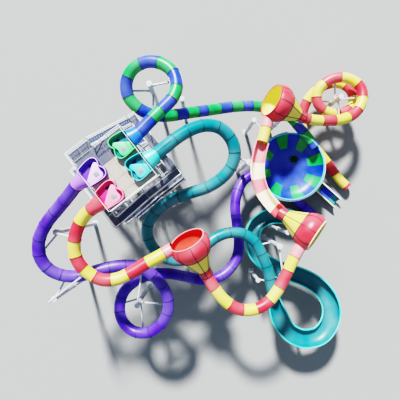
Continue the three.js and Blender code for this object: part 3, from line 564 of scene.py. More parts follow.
def gelcoat_group():
    """Sun fade in broad areas, water streaks and a faint ripple of moulded fibreglass."""
    tree, i, o = group_of("gelcoat", {"Fade": 0.25, "Streaks": 0.2})
    v, colour = i.outputs["Vector"], i.outputs["Colour"]
    broad = ranged(tree, noise(tree, v, 0.55, 2.0), 0.35, 0.75)
    faded = mixed(tree, broad, colour, mixed(tree, i.outputs["Fade"], colour, (1, 1, 1, 1)))
    runs = ranged(tree, noise(tree, v, 5.0, 4.0, 0.6, (1, 1, 0.18)), 0.52, 0.78)
    streaked = stained(tree, faded, runs, i.outputs["Streaks"], (0.12, 0.11, 0.09, 1))
    link(tree, streaked, o.inputs["Colour"])
    link(tree, ranged(tree, noise(tree, v, 9.0, 5.0), 0.3, 0.7, 0.3, 0.42), o.inputs["Roughness"])
    link(tree, noise(tree, v, 3.2, 2.0), o.inputs["Height"])
    return tree


def paint_group():
    """Coated steel and panels: grime in patches, rust specks and an uneven coat."""
    tree, i, o = group_of("coated_steel", {"Grime": 0.3, "Rust": 0.3})
    v = i.outputs["Vector"]
    patches = ranged(tree, noise(tree, v, 2.4, 5.0, 0.62, (1, 1, 0.35)), 0.45, 0.75)
    dull = stained(tree, i.outputs["Colour"], patches, i.outputs["Grime"], (0.16, 0.15, 0.13, 1))
    specks = ranged(tree, noise(tree, v, 14.0, 6.0, 0.7), 0.68, 0.74)
    rusty = stained(tree, dull, specks, i.outputs["Rust"], (0.2, 0.07, 0.025, 1))
    link(tree, rusty, o.inputs["Colour"])
    link(tree, ranged(tree, noise(tree, v, 11.0, 4.0), 0.3, 0.7, 0.38, 0.6), o.inputs["Roughness"])
    link(tree, noise(tree, v, 40.0, 3.0), o.inputs["Height"])
    return tree


GROUPS = {}  # the node groups that are built so far


def shader(name, group, colour, bump, coat=0.0, metallic=0.0, coat_rough=0.08, shine=0.5,
           **amounts):
    """A material on the principled shader with one of the shared groups behind it."""
    m = bpy.data.materials.new(name)
    m.use_nodes = True
    tree = m.node_tree
    base = tree.nodes["Principled BSDF"]
    m.diffuse_color = (*colour, 1)
    if group not in GROUPS:
        GROUPS[group] = {"gelcoat": gelcoat_group, "coated_steel": paint_group}[group]()
    g = tree.nodes.new("ShaderNodeGroup")
    g.node_tree = GROUPS[group]
    g.inputs["Colour"].default_value = (*colour, 1)
    for key, value in amounts.items():
        g.inputs[key.title()].default_value = value
    where = node(tree, "TexCoord")
    link(tree, where.outputs["Object"], g.inputs["Vector"])
    link(tree, g.outputs["Colour"], base.inputs["Base Color"])
    link(tree, g.outputs["Roughness"], base.inputs["Roughness"])
    lift = node(tree, "Bump", Strength=bump, Distance=0.02)
    link(tree, g.outputs["Height"], lift.inputs["Height"])
    link(tree, lift.outputs["Normal"], base.inputs["Normal"])
    base.inputs["Metallic"].default_value = metallic
    base.inputs["Coat Weight"].default_value = coat
    base.inputs["Coat Roughness"].default_value = coat_rough
    base.inputs["Specular IOR Level"].default_value = shine
    return m


MADE = {}  # the materials that are built so far


def finish(name):
    """The material of that name, made the first time it is asked for."""
    if name not in MADE:
        c = bpy.context.scene.slide_colours
        if name in FIBREGLASS:
            MADE[name] = shader(name + "_gelcoat", "gelcoat", getattr(c, name)[:], 0.12,
                                coat_rough=0.3, shine=0.4, fade=0.1, streaks=0.05)
        else:
            colour, bump, metal, amounts = STEELS[name]
            rgb = getattr(c, colour)[:] if isinstance(colour, str) else colour
            MADE[name] = shader(name, "coated_steel", rgb, bump, metallic=metal, **amounts)
    return MADE[name]


FIBREGLASS = (
    "purple", "turquoise", "blue", "green", "red", "yellow", "pink", "cream", "orange", "lilac",
    "lavender", "rose", "salmon", "magenta", "mint", "leaf", "aqua", "lagoon", "azure", "sky", "navy",
    "primrose", "violet",
)
STEELS = {  # colour setting or linear colour, bump, metallic, amounts
    "white_steel": ("steel", 0.08, 0.0, {"grime": 0.25, "rust": 0.35, "coat": 0.2}),
    "grey_steel": ((0.5, 0.53, 0.56), 0.1, 0.6, {"grime": 0.35, "rust": 0.4}),
    "deck_panel": ("deck", 0.25, 0.0, {"grime": 0.3, "rust": 0.05}),
    "tread": ("tread", 0.25, 0.2, {"grime": 0.25, "rust": 0.15}),
    "rail": ("rail", 0.05, 0.0, {"grime": 0.12, "rust": 0.15, "coat": 0.2}),
    # Partly the landing's grey, partly painted shadow on the deck
    "slate": ("slate", 0.25, 0.0, {"grime": 0.3, "rust": 0.05}),
    "walkway": ("walkway", 0.25, 0.0, {"grime": 0.3, "rust": 0.1}),
    "grip": ((0.035, 0.04, 0.055), 0.3, 0.0, {"grime": 0.3, "rust": 0.0}),
    # Near black: painted shade on the pad in the tub's well
    "well_mat": ((0.02, 0.02, 0.1), 0.3, 0.0, {"grime": 0.1, "rust": 0.0}),
    # Dark gaskets and seams, darkened further to paint the shade along the flanges and ribs
    "joint": ((0.03, 0.02, 0.03), 0.1, 0.0, {"grime": 0.2, "rust": 0.0}),
    "bolt": ((0.5, 0.5, 0.48), 0.05, 0.9, {"grime": 0.4, "rust": 0.3}),
    "pad": ((0.25, 0.26, 0.28), 0.4, 0.0, {"grime": 0.2, "rust": 0.0}),
}


# Closed and open slides
NEAR_END = 0.15  # a joint that lies closer to a tube's end is left out
FLARE = 0.75  # how far down a tube its widened mouth reaches
GROWTH = 1.5  # how far down the wide flume it grows from the tube's width to its own
PLUG = 1.8  # length of the solid that cuts a tube's way into a funnel or the bowl
SECTION_END = 0.1  # a joint that lies closer to a flume's end is left out


def section_colour(x, joints, colours):
    """The colour of the section that lies at a distance, from joints in real metres."""
    return colours[min(sum(x > j * HALF for j in joints), len(colours) - 1)]


def hex_bolt(r):
    """A bolt head with a washer, along x."""
    washer, head = r * 0.25, r
    return turned("bolt", [(0, 0), (0, r * 1.4), (washer, r * 1.4), (washer, r), (head, r), (head, 0)], 6)


def joint_bolts(sizes, at):
    """Rings of bolt heads on the downhill face of each joint."""
    r = sizes.tube_radius + sizes.rib_height * 0.55
    n = sizes.bolts
    ring = joined("ring", copies(hex_bolt(sizes.bolt_radius), [
        Matrix.Rotation(2 * math.pi * (k + 0.5) / n, 4, "X") @ Matrix.Translation((0, 0, r))
        for k in range(n)]))
    return joined("bolts", copies(ring, [Matrix.Translation((x, 0, 0)) for x in at]))


def tub_side():
    """The space behind the fronts of the tubs, as a solid that cuts the tubes' mouths flush."""
    front = TUB_FRONT * HALF + 0.0005
    return placed(block("tub_side", (-front, -3, -0.5), (front, 3, 1.5)), tower_frame(DECK_Z))


def plug(route, stop, sizes):
    """A solid just wider than a tube along the last stretch of its route, up to a distance."""
    start, r = stop - PLUG, sizes.tube_radius + 0.003
    rings = [(start + 0.2 * k, r) for k in range(10)]
    return follow(turned("plug", [(start, 0), *rings, (stop, 0)], 28), route)


def tube(name, route, start, end, joints, colours, sizes, flare=False, cutters=(), open_end=True,
         top_seam=None):
    """A closed slide: a straight tube with flanged joints, bent along its route.

    start, end, joints and top_seam are distances in real metres; flare widens the mouth at the tub.
    """
    r, h = sizes.tube_radius, sizes.rib_height
    w, g = sizes.rib_width / 2, sizes.gasket_width / 2
    x0, x1 = start * HALF, end * HALF
    inner = [j * HALF for j in joints if x0 + NEAR_END < j * HALF < x1 - NEAR_END]
    profile = [(x0, r + h), (x0 + w, r + h), (x0 + w, r)]
    here = x0 + w
    for x in inner + [x1]:
        stop = x - w if x < x1 or open_end else x1
        n = max(1, round((stop - here) / sizes.ring_step))
        profile += [(here + (stop - here) * k / n, r) for k in range(1, n + 1)]
        if x < x1:
            groove = r + h * 0.4
            profile += [(x - w, r + h), (x - g, r + h), (x - g, groove), (x + g, groove),
                        (x + g, r + h), (x + w, r + h), (x + w, r)]
        elif open_end:
            profile += [(x1 - w, r + h), (x1, r + h)]
        here = x + w
    skin = turned(name, profile, sizes.tube_sides)

    def pick(c, n):
        if any(abs(c.x - x) < g * 1.01 for x in inner):
            return "joint"
        return section_colour(c.x, joints, colours)

    # The joints' dark gasket also paints the shade beside the flanges
    colour_by(skin, colours + ["joint"], pick)
    seams = []
    for side in (-1, 1):
        y, half = side * (r + h * 0.35), h * 0.65
        seam = block("seam", (x0 + w, y - half, -0.009), (x1 - w, y + half, 0.009))
        sliced(seam, max(2, int((x1 - x0) / sizes.ring_step)))
        colour_by(seam, colours, lambda c, n: section_colour(c.x, joints, colours))
        seams.append(seam)
    if top_seam:
        a, b = (v * HALF for v in top_seam)
        ridge = block("top_seam", (a, -0.012, r - 0.004), (b, 0.012, r + 0.008))
        seams.append(finish_all(ridge, "joint"))
    if flare:
        for o in [skin, *seams]:
            widen(o, lambda x: (1 + (sizes.mouth_wide - 1) * max(0.0, 1 - x / FLARE), 1.0), FLARE)
    follow(skin, route)
    walled(skin, sizes.tube_wall)
    for tool in cutters:
        cut(skin, tool, keep_tool=True)
    smooth(skin)
    bolts = follow(finish_all(joint_bolts(sizes, [x + w for x in inner]), "bolt"), route)
    for seam in seams:
        follow(seam, route)
    for tool in cutters:
        drop_inside(bolts, tool)
        for seam in seams:
            cut(seam, tool, keep_tool=True)
    return joined(name, [bolts, *seams, skin])


def drop_inside(o, tool):
    """Deletes the loose parts of a piece whose middle lies inside a solid."""
    solid = tool.evaluated_get(bpy.context.evaluated_depsgraph_get())
    with editing(o, selected=False):
        cage = bmesh.from_edit_mesh(o.data)
        seen, inside = set(), set()
        for first in cage.verts:
            if first in seen:
                continue
            part, queue = [], [first]
            seen.add(first)
            while queue:
                v = queue.pop()
                part.append(v)
                for e in v.link_edges:
                    other = e.other_vert(v)
                    if other not in seen:
                        seen.add(other)
                        queue.append(other)
            middle = sum((v.co for v in part), Vector()) / len(part)
            hit, where, normal, face = solid.closest_point_on_mesh(middle)
            if hit and (middle - where).dot(normal) < 0:
                inside.update(part)
        pick_points(o, lambda v: v in inside)
        bpy.ops.mesh.delete(type="VERT")
    return o


def widen(o, scale, end):
    """Scales each ring across, ring by ring, up to a distance along x."""
    rings = {round(v.co.x, 5) for v in o.data.vertices if v.co.x < end}
    with editing(o, selected=False):
        for x in sorted(rings):
            pick_points(o, lambda v: abs(v.co.x - x) < 1e-5)
            bpy.ops.transform.resize(value=(1, *scale(x)), center_override=(x, 0, 0))
    return o


def flume(name, route, start, end, half, depth, rise, joints, colours, rim, sizes,
          bank=None, grow=None):
    """An open slide: a round bottom between upright sides with rolled rims and ribs beneath.

    half, depth and rise are the trough's half width, its depth and its rims' height; bank gives the
    lean and grow the two scales across at a distance.
    """
    x0, x1 = start * HALF, end * HALF
    lip = sizes.rim_width
    arc = [(half * math.cos(a), depth * math.sin(a))
           for a in (math.pi + math.pi * k / 20 for k in range(21))]
    left = [(-half - lip, rise - 0.03), (-half - lip, rise - 0.006), (-half - lip + 0.008, rise),
            (-half, rise), (-half, rise - 0.02)]
    chain = left + arc + [(-y, z) for y, z in reversed(left)]

    def strip(points, a, b, cuts=0):
        o = extruded("strip", [(a, y, z) for y, z in points], (b - a, 0, 0), closed=False)
        if cuts:
            sliced(o, cuts)
        return flip_if(o, lowest_face(o).normal.z > 0)

    inner = [j * HALF for j in joints if x0 + SECTION_END < j * HALF < x1 - SECTION_END]
    skin = strip(chain, x0, x1, max(2, round((x1 - x0) / sizes.ring_step)) - 1)
    for x in inner:
        with editing(skin):
            bpy.ops.mesh.bisect(plane_co=(x, 0, 0), plane_no=(1, 0, 0))
    walled(skin, sizes.flume_wall)

    # A rim given to the flume is a paler colour that paints a highlight along its rolled edges
    def pick(c, n):
        if rim and c.z > rise - 0.035:
            return rim
        return section_colour(c.x, joints, colours)

    colour_by(skin, colours + ([rim] if rim else []), pick)
    w = sizes.rib_width / 2
    ribs = []
    for x in inner:
        rib = walled(strip(arc, x - w, x + w), sizes.rib_height, 1.0)
        ribs.append(colour_by(rib, colours, lambda c, n: section_colour(x, joints, colours)))
    o = joined(name, ribs[::-1] + [skin])
    if grow:
        widen(o, grow, GROWTH)
    follow(o, route, bank)
    return smooth(o)


# Funnels
FUNNEL_PLACES = [  # node, middle of the mouth, heading, rim, inside
    # The first two rims are painted highlights in pale colours, the insides of the second and third a
    # paler yellow that paints sunlight
    ("funnel_1", (-1.55, -4.76, 16.0), (0.46, -0.89), "pink", "orange"),
    ("funnel_2", (14.8, -4.51, 13.2), (-0.83, 0.56), "cream", "primrose"),
    ("funnel_3", (9.48, 13.22, 10.95), (0.93, -0.36), "red", "primrose"),
]


def funnel_matrix(mouth, heading, sizes):
    """A funnel's own axes: x runs from its mouth down to its neck."""
    h = Vector(heading).normalized()
    t = Vector((h.x * math.cos(sizes.tilt), h.y * math.cos(sizes.tilt), -math.sin(sizes.tilt)))
    return facing(spot(*mouth), t)


def funnel_outline(sizes):
    """The outside profile from the mouth to the neck."""
    m, w, j = sizes.mouth_radius, sizes.bulge_radius, sizes.joint_radius
    n, b, c = sizes.neck_radius, sizes.band_length, sizes.cone_length
    line = [(b * q, m + (w - m) * k) for q, k in
            ((0, 0), (0.08, 0.36), (0.18, 0.7), (0.3, 0.92), (0.42, 1.0))]
    line += [(b * q, j + (w - j) * k) for q, k in
             ((0.57, 0.91), (0.72, 0.72), (0.86, 0.41), (1.0, 0.0))]
    line += [(b + c * k / 4, j + (n + 0.03 - j) * k / 4) for k in (1, 2, 3, 4)]
    return line + [(b + c + sizes.neck_length * 0.3, n + 0.006), (b + c + sizes.neck_length, n)]


def funnel_hollow(place, sizes):
    """The space inside a funnel, a little beyond its mouth, as a solid that cuts a tube's end."""
    line = [(s, r - sizes.funnel_wall - 0.001) for s, r in funnel_outline(sizes)]
    far = [(-0.8, 0.0), (-0.8, line[0][1])]
    o = turned("hollow", far + line + [(line[-1][0], 0.0)], sizes.funnel_sides)
    return placed(o, funnel_matrix(place[1], place[2], sizes))


def funnel(place, route, sizes, slides):
    """A funnel: band, cone and neck with rolled rim, ring seams, lengthwise seams and entry hole."""
    name, mouth, heading, rim, inside = place
    line = funnel_outline(sizes)
    b, c = sizes.band_length, sizes.cone_length
    skin = turned("shell", line, sizes.funnel_sides)
    walled(skin, sizes.funnel_wall)

    # Rim and inside take the funnel's painted colours: a pale highlight on the first two rims, painted
    # sunlight inside the second and third
    def pick(p, n):
        if p.x < 0.0005 and abs(n.x) > 0.7:
            return rim
        if p.x > 0.0005 and n.y * p.y + n.z * p.z < 0:
            return inside
        return "yellow" if b <= p.x < b + c else "red"

    colour_by(skin, ["red", "yellow", rim, inside], pick)
    h, w = sizes.seam_height, sizes.seam_width / 2

    # The ring seams are dark, partly seam and partly painted shade
    def ring(x, r, wide):
        o = turned("ring", [(x - wide, r - 0.004), (x - wide, r + h), (x + wide, r + h),
                            (x + wide, r - 0.004), (x - wide, r - 0.004)], sizes.funnel_sides)
        return finish_all(o, "joint")

    m, neck = sizes.mouth_radius, sizes.neck_radius
    parts = [ring(b, sizes.joint_radius, w), ring(b + c, neck + 0.03, w * 0.8),
             ring(b + c + sizes.neck_length - 0.02, neck, 0.02)]
    lip = turned("lip", [(-0.03, m - 0.03), (-0.04, m), (-0.03, m + 0.035), (0.0, m + 0.045),
                         (0.03, m + 0.03), (0.03, m + 0.004), (0.0, m - 0.036), (-0.03, m - 0.03)],
                 sizes.funnel_sides)
    parts.append(finish_all(lip, rim))
    seam = raised_seam([(x, r + 0.001) for x, r in line], w * 1.6, h * 0.8)
    parts += copies(seam, [Matrix.Rotation(2 * math.pi * k / sizes.seams, 4, "X")
                           for k in range(sizes.seams)])
    parts.append(skin)
    matrix = funnel_matrix(mouth, heading, sizes)
    way_in = plug(route, route.length + 0.2, slides)
    for part in parts:
        cut(placed(part, matrix), way_in, keep_tool=True)
    bpy.data.objects.remove(way_in)
    return smooth(joined(name + "_shell", parts))


# Steelwork
UPRIGHT = Matrix.Rotation(-math.pi / 2, 4, "Y")  # turns what runs along x upwards
FOOT_PLATE = 0.02  # thickness of a base plate


def bar(name, p, q, radius, sides=8):
    """A round bar between two points, its ends softened."""
    p, q = Vector(p), Vector(q)
    long, e = (q - p).length, radius * 0.3
    o = turned(name, [(0, 0), (0, radius - e), (e, radius), (long - e, radius),
                      (long, radius - e), (long, 0)], sides)
    return placed(o, facing(p, q - p))


def beam(name, p, q, depth, width, web=0.012, flange=0.014):
    """A rolled I-section between two points, its web as upright as it can be."""
    p, q = Vector(p), Vector(q)
    h, w, t, f = depth / 2, width / 2, web / 2, flange
    side = [(w, -h), (w, -h + f), (t, -h + f), (t, h - f), (w, h - f), (w, h)]
    outline = side + [(-y, z) for y, z in reversed(side)]
    o = extruded(name, [(0, y, z) for y, z in outline], ((q - p).length, 0, 0))
    return placed(o, facing(p, q - p))


def base_plate(half, sizes):
    """A foot: a plate on the floor with an anchor bolt at each corner."""
    plate = block("plate", (-half, -half, 0), (half, half, FOOT_PLATE), 0.003)
    finish_all(plate, "white_steel")
    r = sizes.anchor_radius
    nut = turned("nut", [(0, 0), (0, r * 1.5), (r * 0.3, r * 1.5), (r * 0.3, r), (r * 1.2, r),
                         (r * 1.2, r * 0.5), (r * 2.2, r * 0.5), (r * 2.2, 0)], 6)
    finish_all(nut, "bolt")
    out = half * 0.72
    nuts = copies(nut, [Matrix.Translation((x * out, y * out, FOOT_PLATE)) @ UPRIGHT
                        for x in (-1, 1) for y in (-1, 1)])
    return joined("foot", [*nuts, plate])


def guard(points, sizes, high=None):
    """A guard rail along a line of points: posts on plates, rails and fine upright bars."""
    h = high or sizes.rail_height
    post = turned("post", [(0, 0), (0, 0.034), (0.008, 0.034), (0.008, 0.016), (h, 0.016),
                           (h + 0.006, 0)], 8, "Z")
    fine = turned("fine_bar", [(0.05, 0), (0.05, 0.004), (h - 0.01, 0.004), (h - 0.01, 0)], 5, "Z")
    stands, bars, rails = [], [], []
    for p, q in zip(points, points[1:]):
        p, q = Vector(p), Vector(q)
        far = (q - p).length
        n = max(1, round(far / sizes.post_step))
        stands += [p.lerp(q, k / n) for k in range(n + 1)]
        n = max(2, round(far / sizes.bar_step))
        bars += [p.lerp(q, (k + 0.5) / n) for k in range(n)]
        for up, r in ((h, 0.022), (h * 0.52, 0.011), (0.055, 0.01)):  # height and radius of each rail
            lift = Vector((0, 0, up))
            rails.append(bar("rail", p + lift, q + lift, r))
    rails += copies(post, [Matrix.Translation(v) for v in stands])
    rails += copies(fine, [Matrix.Translation(v) for v in bars])
    return finish_all(joined("guard", rails), "rail")


def local(a, b, z=0.0):
    """A point on the tower's own axes in model metres, from real ones: a across, b along."""
    return Vector((b * HALF, -a * HALF, z * HALF))


# Leg frames
LEG_A = (-3.45, 0.0, 3.1)  # where the legs of each frame stand, across the tower
FRAMES = (("frame_left", -3.15), ("frame_middle", 0.0), ("frame_right", 3.15))
SPLICE_HEIGHTS = (6.4, 12.8)
FLIGHTS = 6
LEVEL = DECK_Z / FLIGHTS
WALK_T = 0.18  # thickness of a walkway
DECK_T = 0.25  # thickness of the deck


def leg_frame(name, b, sizes):
    """Three H legs with beams at every level, bracing, gussets, splices and base plates."""
    top = DECK_Z - DECK_T - 0.01
    leg = beam("leg", (0, 0, 0.02), (0, 0, top * HALF), sizes.leg, sizes.leg, 0.012, 0.016)
    splice = block("splice", (-0.09, -0.085, 0), (0.09, 0.085, 0.014), 0.002)
    gusset = block("gusset", (-0.007, -0.1, -0.09), (0.007, 0.1, 0.09), 0.002)
    steel = copies(leg, [Matrix.Translation(local(a, b)) for a in LEG_A])
    steel += copies(splice, [Matrix.Translation(local(a, b, z)) for a in LEG_A for z in SPLICE_HEIGHTS])
    steel.append(beam("head", local(-3.5, b, top - 0.13), local(3.2, b, top - 0.13), 0.125, 0.1))
    gussets = []
    for i in range(FLIGHTS - 1):
        z = LEVEL * (i + 1) - WALK_T - 0.01
        right = i % 2 == 0
        carries = b > 1 if right else b < -1
        a0 = -4.7 if carries and not right else -3.5
        a1 = 4.4 if carries and right else 3.2
        steel.append(beam("floor_beam", local(a0, b, z - 0.125), local(a1, b, z - 0.125), 0.12, 0.1))
        low = max(z - LEVEL + 0.35, 0.3)
        for a in (LEG_A[0], LEG_A[-1]):
            steel.append(bar("brace", local(a, b, low), local(0, b, z - 0.3), 0.03))
            inward = 0.22 if a < 0 else -0.22
            gussets += [local(a + inward, b, low + 0.1), local(-inward * 1.4, b, z - 0.36)]
    steel += copies(gusset, [Matrix.Translation(v) for v in gussets])
    frame_steel = finish_all(joined("steel", steel), "grey_steel")
    feet = copies(base_plate(0.17, sizes), [Matrix.Translation(local(a, b)) for a in LEG_A])
    return placed(joined(name + "_steel", [*feet, frame_steel]), tower_frame())


# Stairs and walkways
STEPS = 18
RUN = 5.0 / STEPS
RISE = LEVEL / STEPS
FIRST_RISER = -2.225  # where a flight starts, along x
OUTER = 2.725  # half the distance across the walkways
NEAR_Y = (-2.225, -1.725)  # the flight on the side of the exits
FAR_SHIFT = 0.15  # the flights on the other side lie this much further out


def flight(sizes):
    """Treads, risers, grips, stringers and sloping rails of one flight."""
    run, rise, top = RUN * HALF, RISE * HALF, LEVEL * HALF
    x0, (y0, y1) = FIRST_RISER, NEAR_Y
    end = x0 + run * STEPS
    pieces = (  # name, two corners, bevel, finish
        ("tread", (x0 - 0.012, y0 + 0.012, rise - 0.022), (x0 + run + 0.004, y1 - 0.012, rise),
         0.004, "tread"),
        ("grip", (x0 - 0.004, y0 + 0.02, rise - 0.002), (x0 + 0.05, y1 - 0.02, rise + 0.003),
         0.001, "grip"),
        ("riser", (x0 + 0.002, y0 + 0.014, 0.0), (x0 + 0.008, y1 - 0.014, rise - 0.018),
         0.0015, "tread"),
    )
    parts = []
    for name, low, high, bevel, look in pieces:
        o = modified(block(name, low, high, bevel, 1), "ARRAY", count=STEPS, use_relative_offset=False,
                     use_constant_offset=True, constant_offset_displace=(run, 0, rise))
        parts.append(finish_all(o, look))
    outline = [(x0 - 0.01, 0), (x0 + 0.2, 0), (end + 0.02, top - 0.125), (end + 0.02, top + 0.02),
               (end - 0.05, top + 0.02), (x0 - 0.01, 0.1)]
    string = extruded("stringer", [(x, 0, z) for x, z in outline], (0, 0.016, 0))
    strings = copies(string, [Matrix.Translation((0, y, 0)) for y in (y0 - 0.004, y1 - 0.012)])
    parts.append(finish_all(joined("stringers", strings), "grey_steel"))
    for y in (y0 + 0.02, y1 - 0.02):
        parts.append(guard([(x0 + run * 0.5, y, rise), (end - run * 0.5, y, top)], sizes, 0.5))
    return joined("flight", parts)


def walkway(sizes):
    """The landing beside the next flight and the walkway round the corner, with kerbs and rails."""
    top = LEVEL * HALF
    base = top - WALK_T * HALF
    (y0, y1), x0, x1, far = NEAR_Y, 0.29, 2.19, 2.375
    low, landing, corner = base + 0.03, 5, 10
    plates = []
    for k in range(landing):
        a, b = (x0 + (x1 - x0) * q / landing for q in (k, k + 1))
        plates.append(block("plate", (a + 0.004, y0 + 0.01, low), (b - 0.004, y1, top), 0.004, 1))
    for k in range(corner):
        a, b = y0 + 0.01 + (far - y0) * k / corner, y0 + (far - y0) * (k + 1) / corner
        plates.append(block("plate", (x1, a + 0.004, low), (OUTER - 0.01, b - 0.004, top), 0.004, 1))
    floor = finish_all(joined("plates", plates), "walkway")
    lines = (
        ((x0, y0 + 0.012), (OUTER - 0.01, y0 + 0.012)), ((OUTER - 0.016, y0), (OUTER - 0.016, far)),
        ((OUTER, far - 0.014), (x1, far - 0.014)), ((x1 + 0.012, y1), (x1 + 0.012, far)),
        ((x0, y1 - 0.012), (x1, y1 - 0.012)),
    )
    kerbs = [beam("kerb", (*p, base + 0.036), (*q, base + 0.036), 0.07, 0.03, 0.008, 0.008)
             for p, q in lines]
    steel = finish_all(joined("kerbs", kerbs), "grey_steel")
    outer = [(0.3, y0 + 0.03, top), (OUTER - 0.035, y0 + 0.03, top), (OUTER - 0.035, far - 0.035, top),
             (x1 + 0.05, far - 0.035, top)]
    inner = [(0.33, y1 - 0.03, top), (x1 + 0.03, y1 - 0.03, top), (x1 + 0.03, 1.84, top)]
    return joined("walkway", [guard(outer, sizes), guard(inner, sizes), steel, floor])


def bearers(side):
    """The three cantilevers that hold a walkway out from its frame."""
    z = (LEVEL - WALK_T) * HALF - 0.045
    made = [beam("bearer", (side * 1.66, -a * HALF, z), (side * 2.7, -a * HALF, z), 0.09, 0.07)
            for a in LEG_A]
    return finish_all(joined("bearers", made), "grey_steel")


# Start deck
DECK_A = (-3.7, -2.6, -1.4, 0.75, 2.25, 3.3)  # where the floor plates meet, across the tower
DECK_B = (-3.33, -2.2, -0.9, 0.4, 1.7, 3.33)  # and along it
STRIP = ((-4.75, -3.75), (-3.33, -1.95, -0.56))  # the strip that the last flight arrives on
JOIST_B = (-2.8, -2.2, -1.55, -0.9, -0.25, 0.4, 1.05, 1.7, 2.3, 2.85)
DECK_EDGE = (  # the edge channel, from corner to corner
    ((-3.68, -3.31), (3.28, -3.31)), ((3.28, -3.31), (3.28, 3.31)), ((3.28, 3.31), (-3.68, 3.31)),
    ((-3.68, 3.31), (-3.68, -0.55)), ((-3.68, -0.58), (-4.73, -0.58)), ((-4.73, -0.58), (-4.73, -3.31)),
    ((-4.73, -3.31), (-3.68, -3.31)),
)
# Slate plates out to -2.6 are the grey landing; the row from -2.6 to -1.4 is slate as painted shadow on
# the deck
SLATE_AND_SHADOW_SIDE = -1.3  # the plates beyond this line are darker


def start_deck():
    """Floor plates with dark gaps over joists, inside an edge channel."""
    thick, gap = 0.035, 0.011
    plates = {"deck_panel": [], "slate": []}
    cells = [(a0, a1, b0, b1) for a0, a1 in zip(DECK_A, DECK_A[1:])
             for b0, b1 in zip(DECK_B, DECK_B[1:])]
    cells += [(*STRIP[0], b0, b1) for b0, b1 in zip(STRIP[1], STRIP[1][1:])]
    for a0, a1, b0, b1 in cells:
        low = local(a1, b0, DECK_Z) + Vector((gap, gap, -thick))
        high = local(a0, b1, DECK_Z) - Vector((gap, gap, 0))
        # Slate on the grey landing and, up to the line, as painted shadow
        look = "slate" if a1 < SLATE_AND_SHADOW_SIDE else "deck_panel"
        plates[look].append(block("plate", low, high, 0.005))
    floors = [finish_all(joined(kind, made), kind) for kind, made in plates.items()]
    z0, z1 = DECK_Z - DECK_T, DECK_Z - thick / HALF - 0.004
    joists = [block("joist", local(3.28, b - 0.04, z0 + 0.02), local(-3.68, b + 0.04, z1), 0.003, 1)
              for b in JOIST_B]
    z = DECK_Z - 0.13
    joists += [beam("edge", local(*p, z), local(*q, z), 0.118, 0.03, 0.012, 0.01) for p, q in DECK_EDGE]
    steel = finish_all(joined("joists", joists), "grey_steel")
    return placed(joined("deck_floor", [*floors, steel]), tower_frame())


# Start tubs
TUB_LINE = [  # the outside of a tub, seen from above, from one corner of its front to the other
    (-1.2, 0), (-1.36, -0.8), (-1.44, -1.5), (-1.36, -2.0), (-1.1, -2.3), (-0.75, -2.36),
    (-0.45, -2.3), (-0.22, -2.18), (0.02, -2.28), (0.4, -2.44), (0.85, -2.38), (1.18, -2.1),
    (1.26, -1.6), (1.2, -0.8), (1.1, 0),
]
SEAT_LINE = [  # the raised seat inside it
    (0.35, -0.05), (-0.75, -1.6), (-0.72, -2.02), (-0.45, -2.08), (0.1, -1.9), (0.62, -1.96),
    (1.0, -1.75), (1.05, -1.3), (1.0, -0.05),
]
TUB_FRONT = 3.35  # from the tower's middle to the fronts of the tubs
TUB_HIGH, TUB_FLOOR, TUB_SEAT = 0.75, 0.12, 0.42  # heights above the deck
# Each tub's rim and seat take a paler copy of its colour: painted sunlight on the upward faces
TUBS = (  # node, middle across, side, walls, rim, seat, well
    ("purple_tub", -1.4, -1, "purple", "lilac", "lilac", "violet"),
    ("red_tub", 1.7, -1, "magenta", "rose", "rose", "magenta"),
    ("green_tub", -1.75, 1, "leaf", "mint", "mint", "lagoon"),
    ("turquoise_tub", 1.3, 1, "turquoise", "aqua", "aqua", "lagoon"),
)


def softened(points, fine=3):
    """A smooth open line through points on the plane."""
    p = [Vector(v) for v in points]
    p = [2 * p[0] - p[1]] + p + [2 * p[-1] - p[-2]]
    out = []
    for a, b, c, d in zip(p, p[1:], p[2:], p[3:]):
        for k in range(fine):
            u = k / fine
            out.append(0.5 * (2 * b + (c - a) * u + (2 * a - 5 * b + 4 * c - d) * u * u
                              + (3 * b - a - 3 * c + d) * u ** 3))
    return out + [p[-2]]


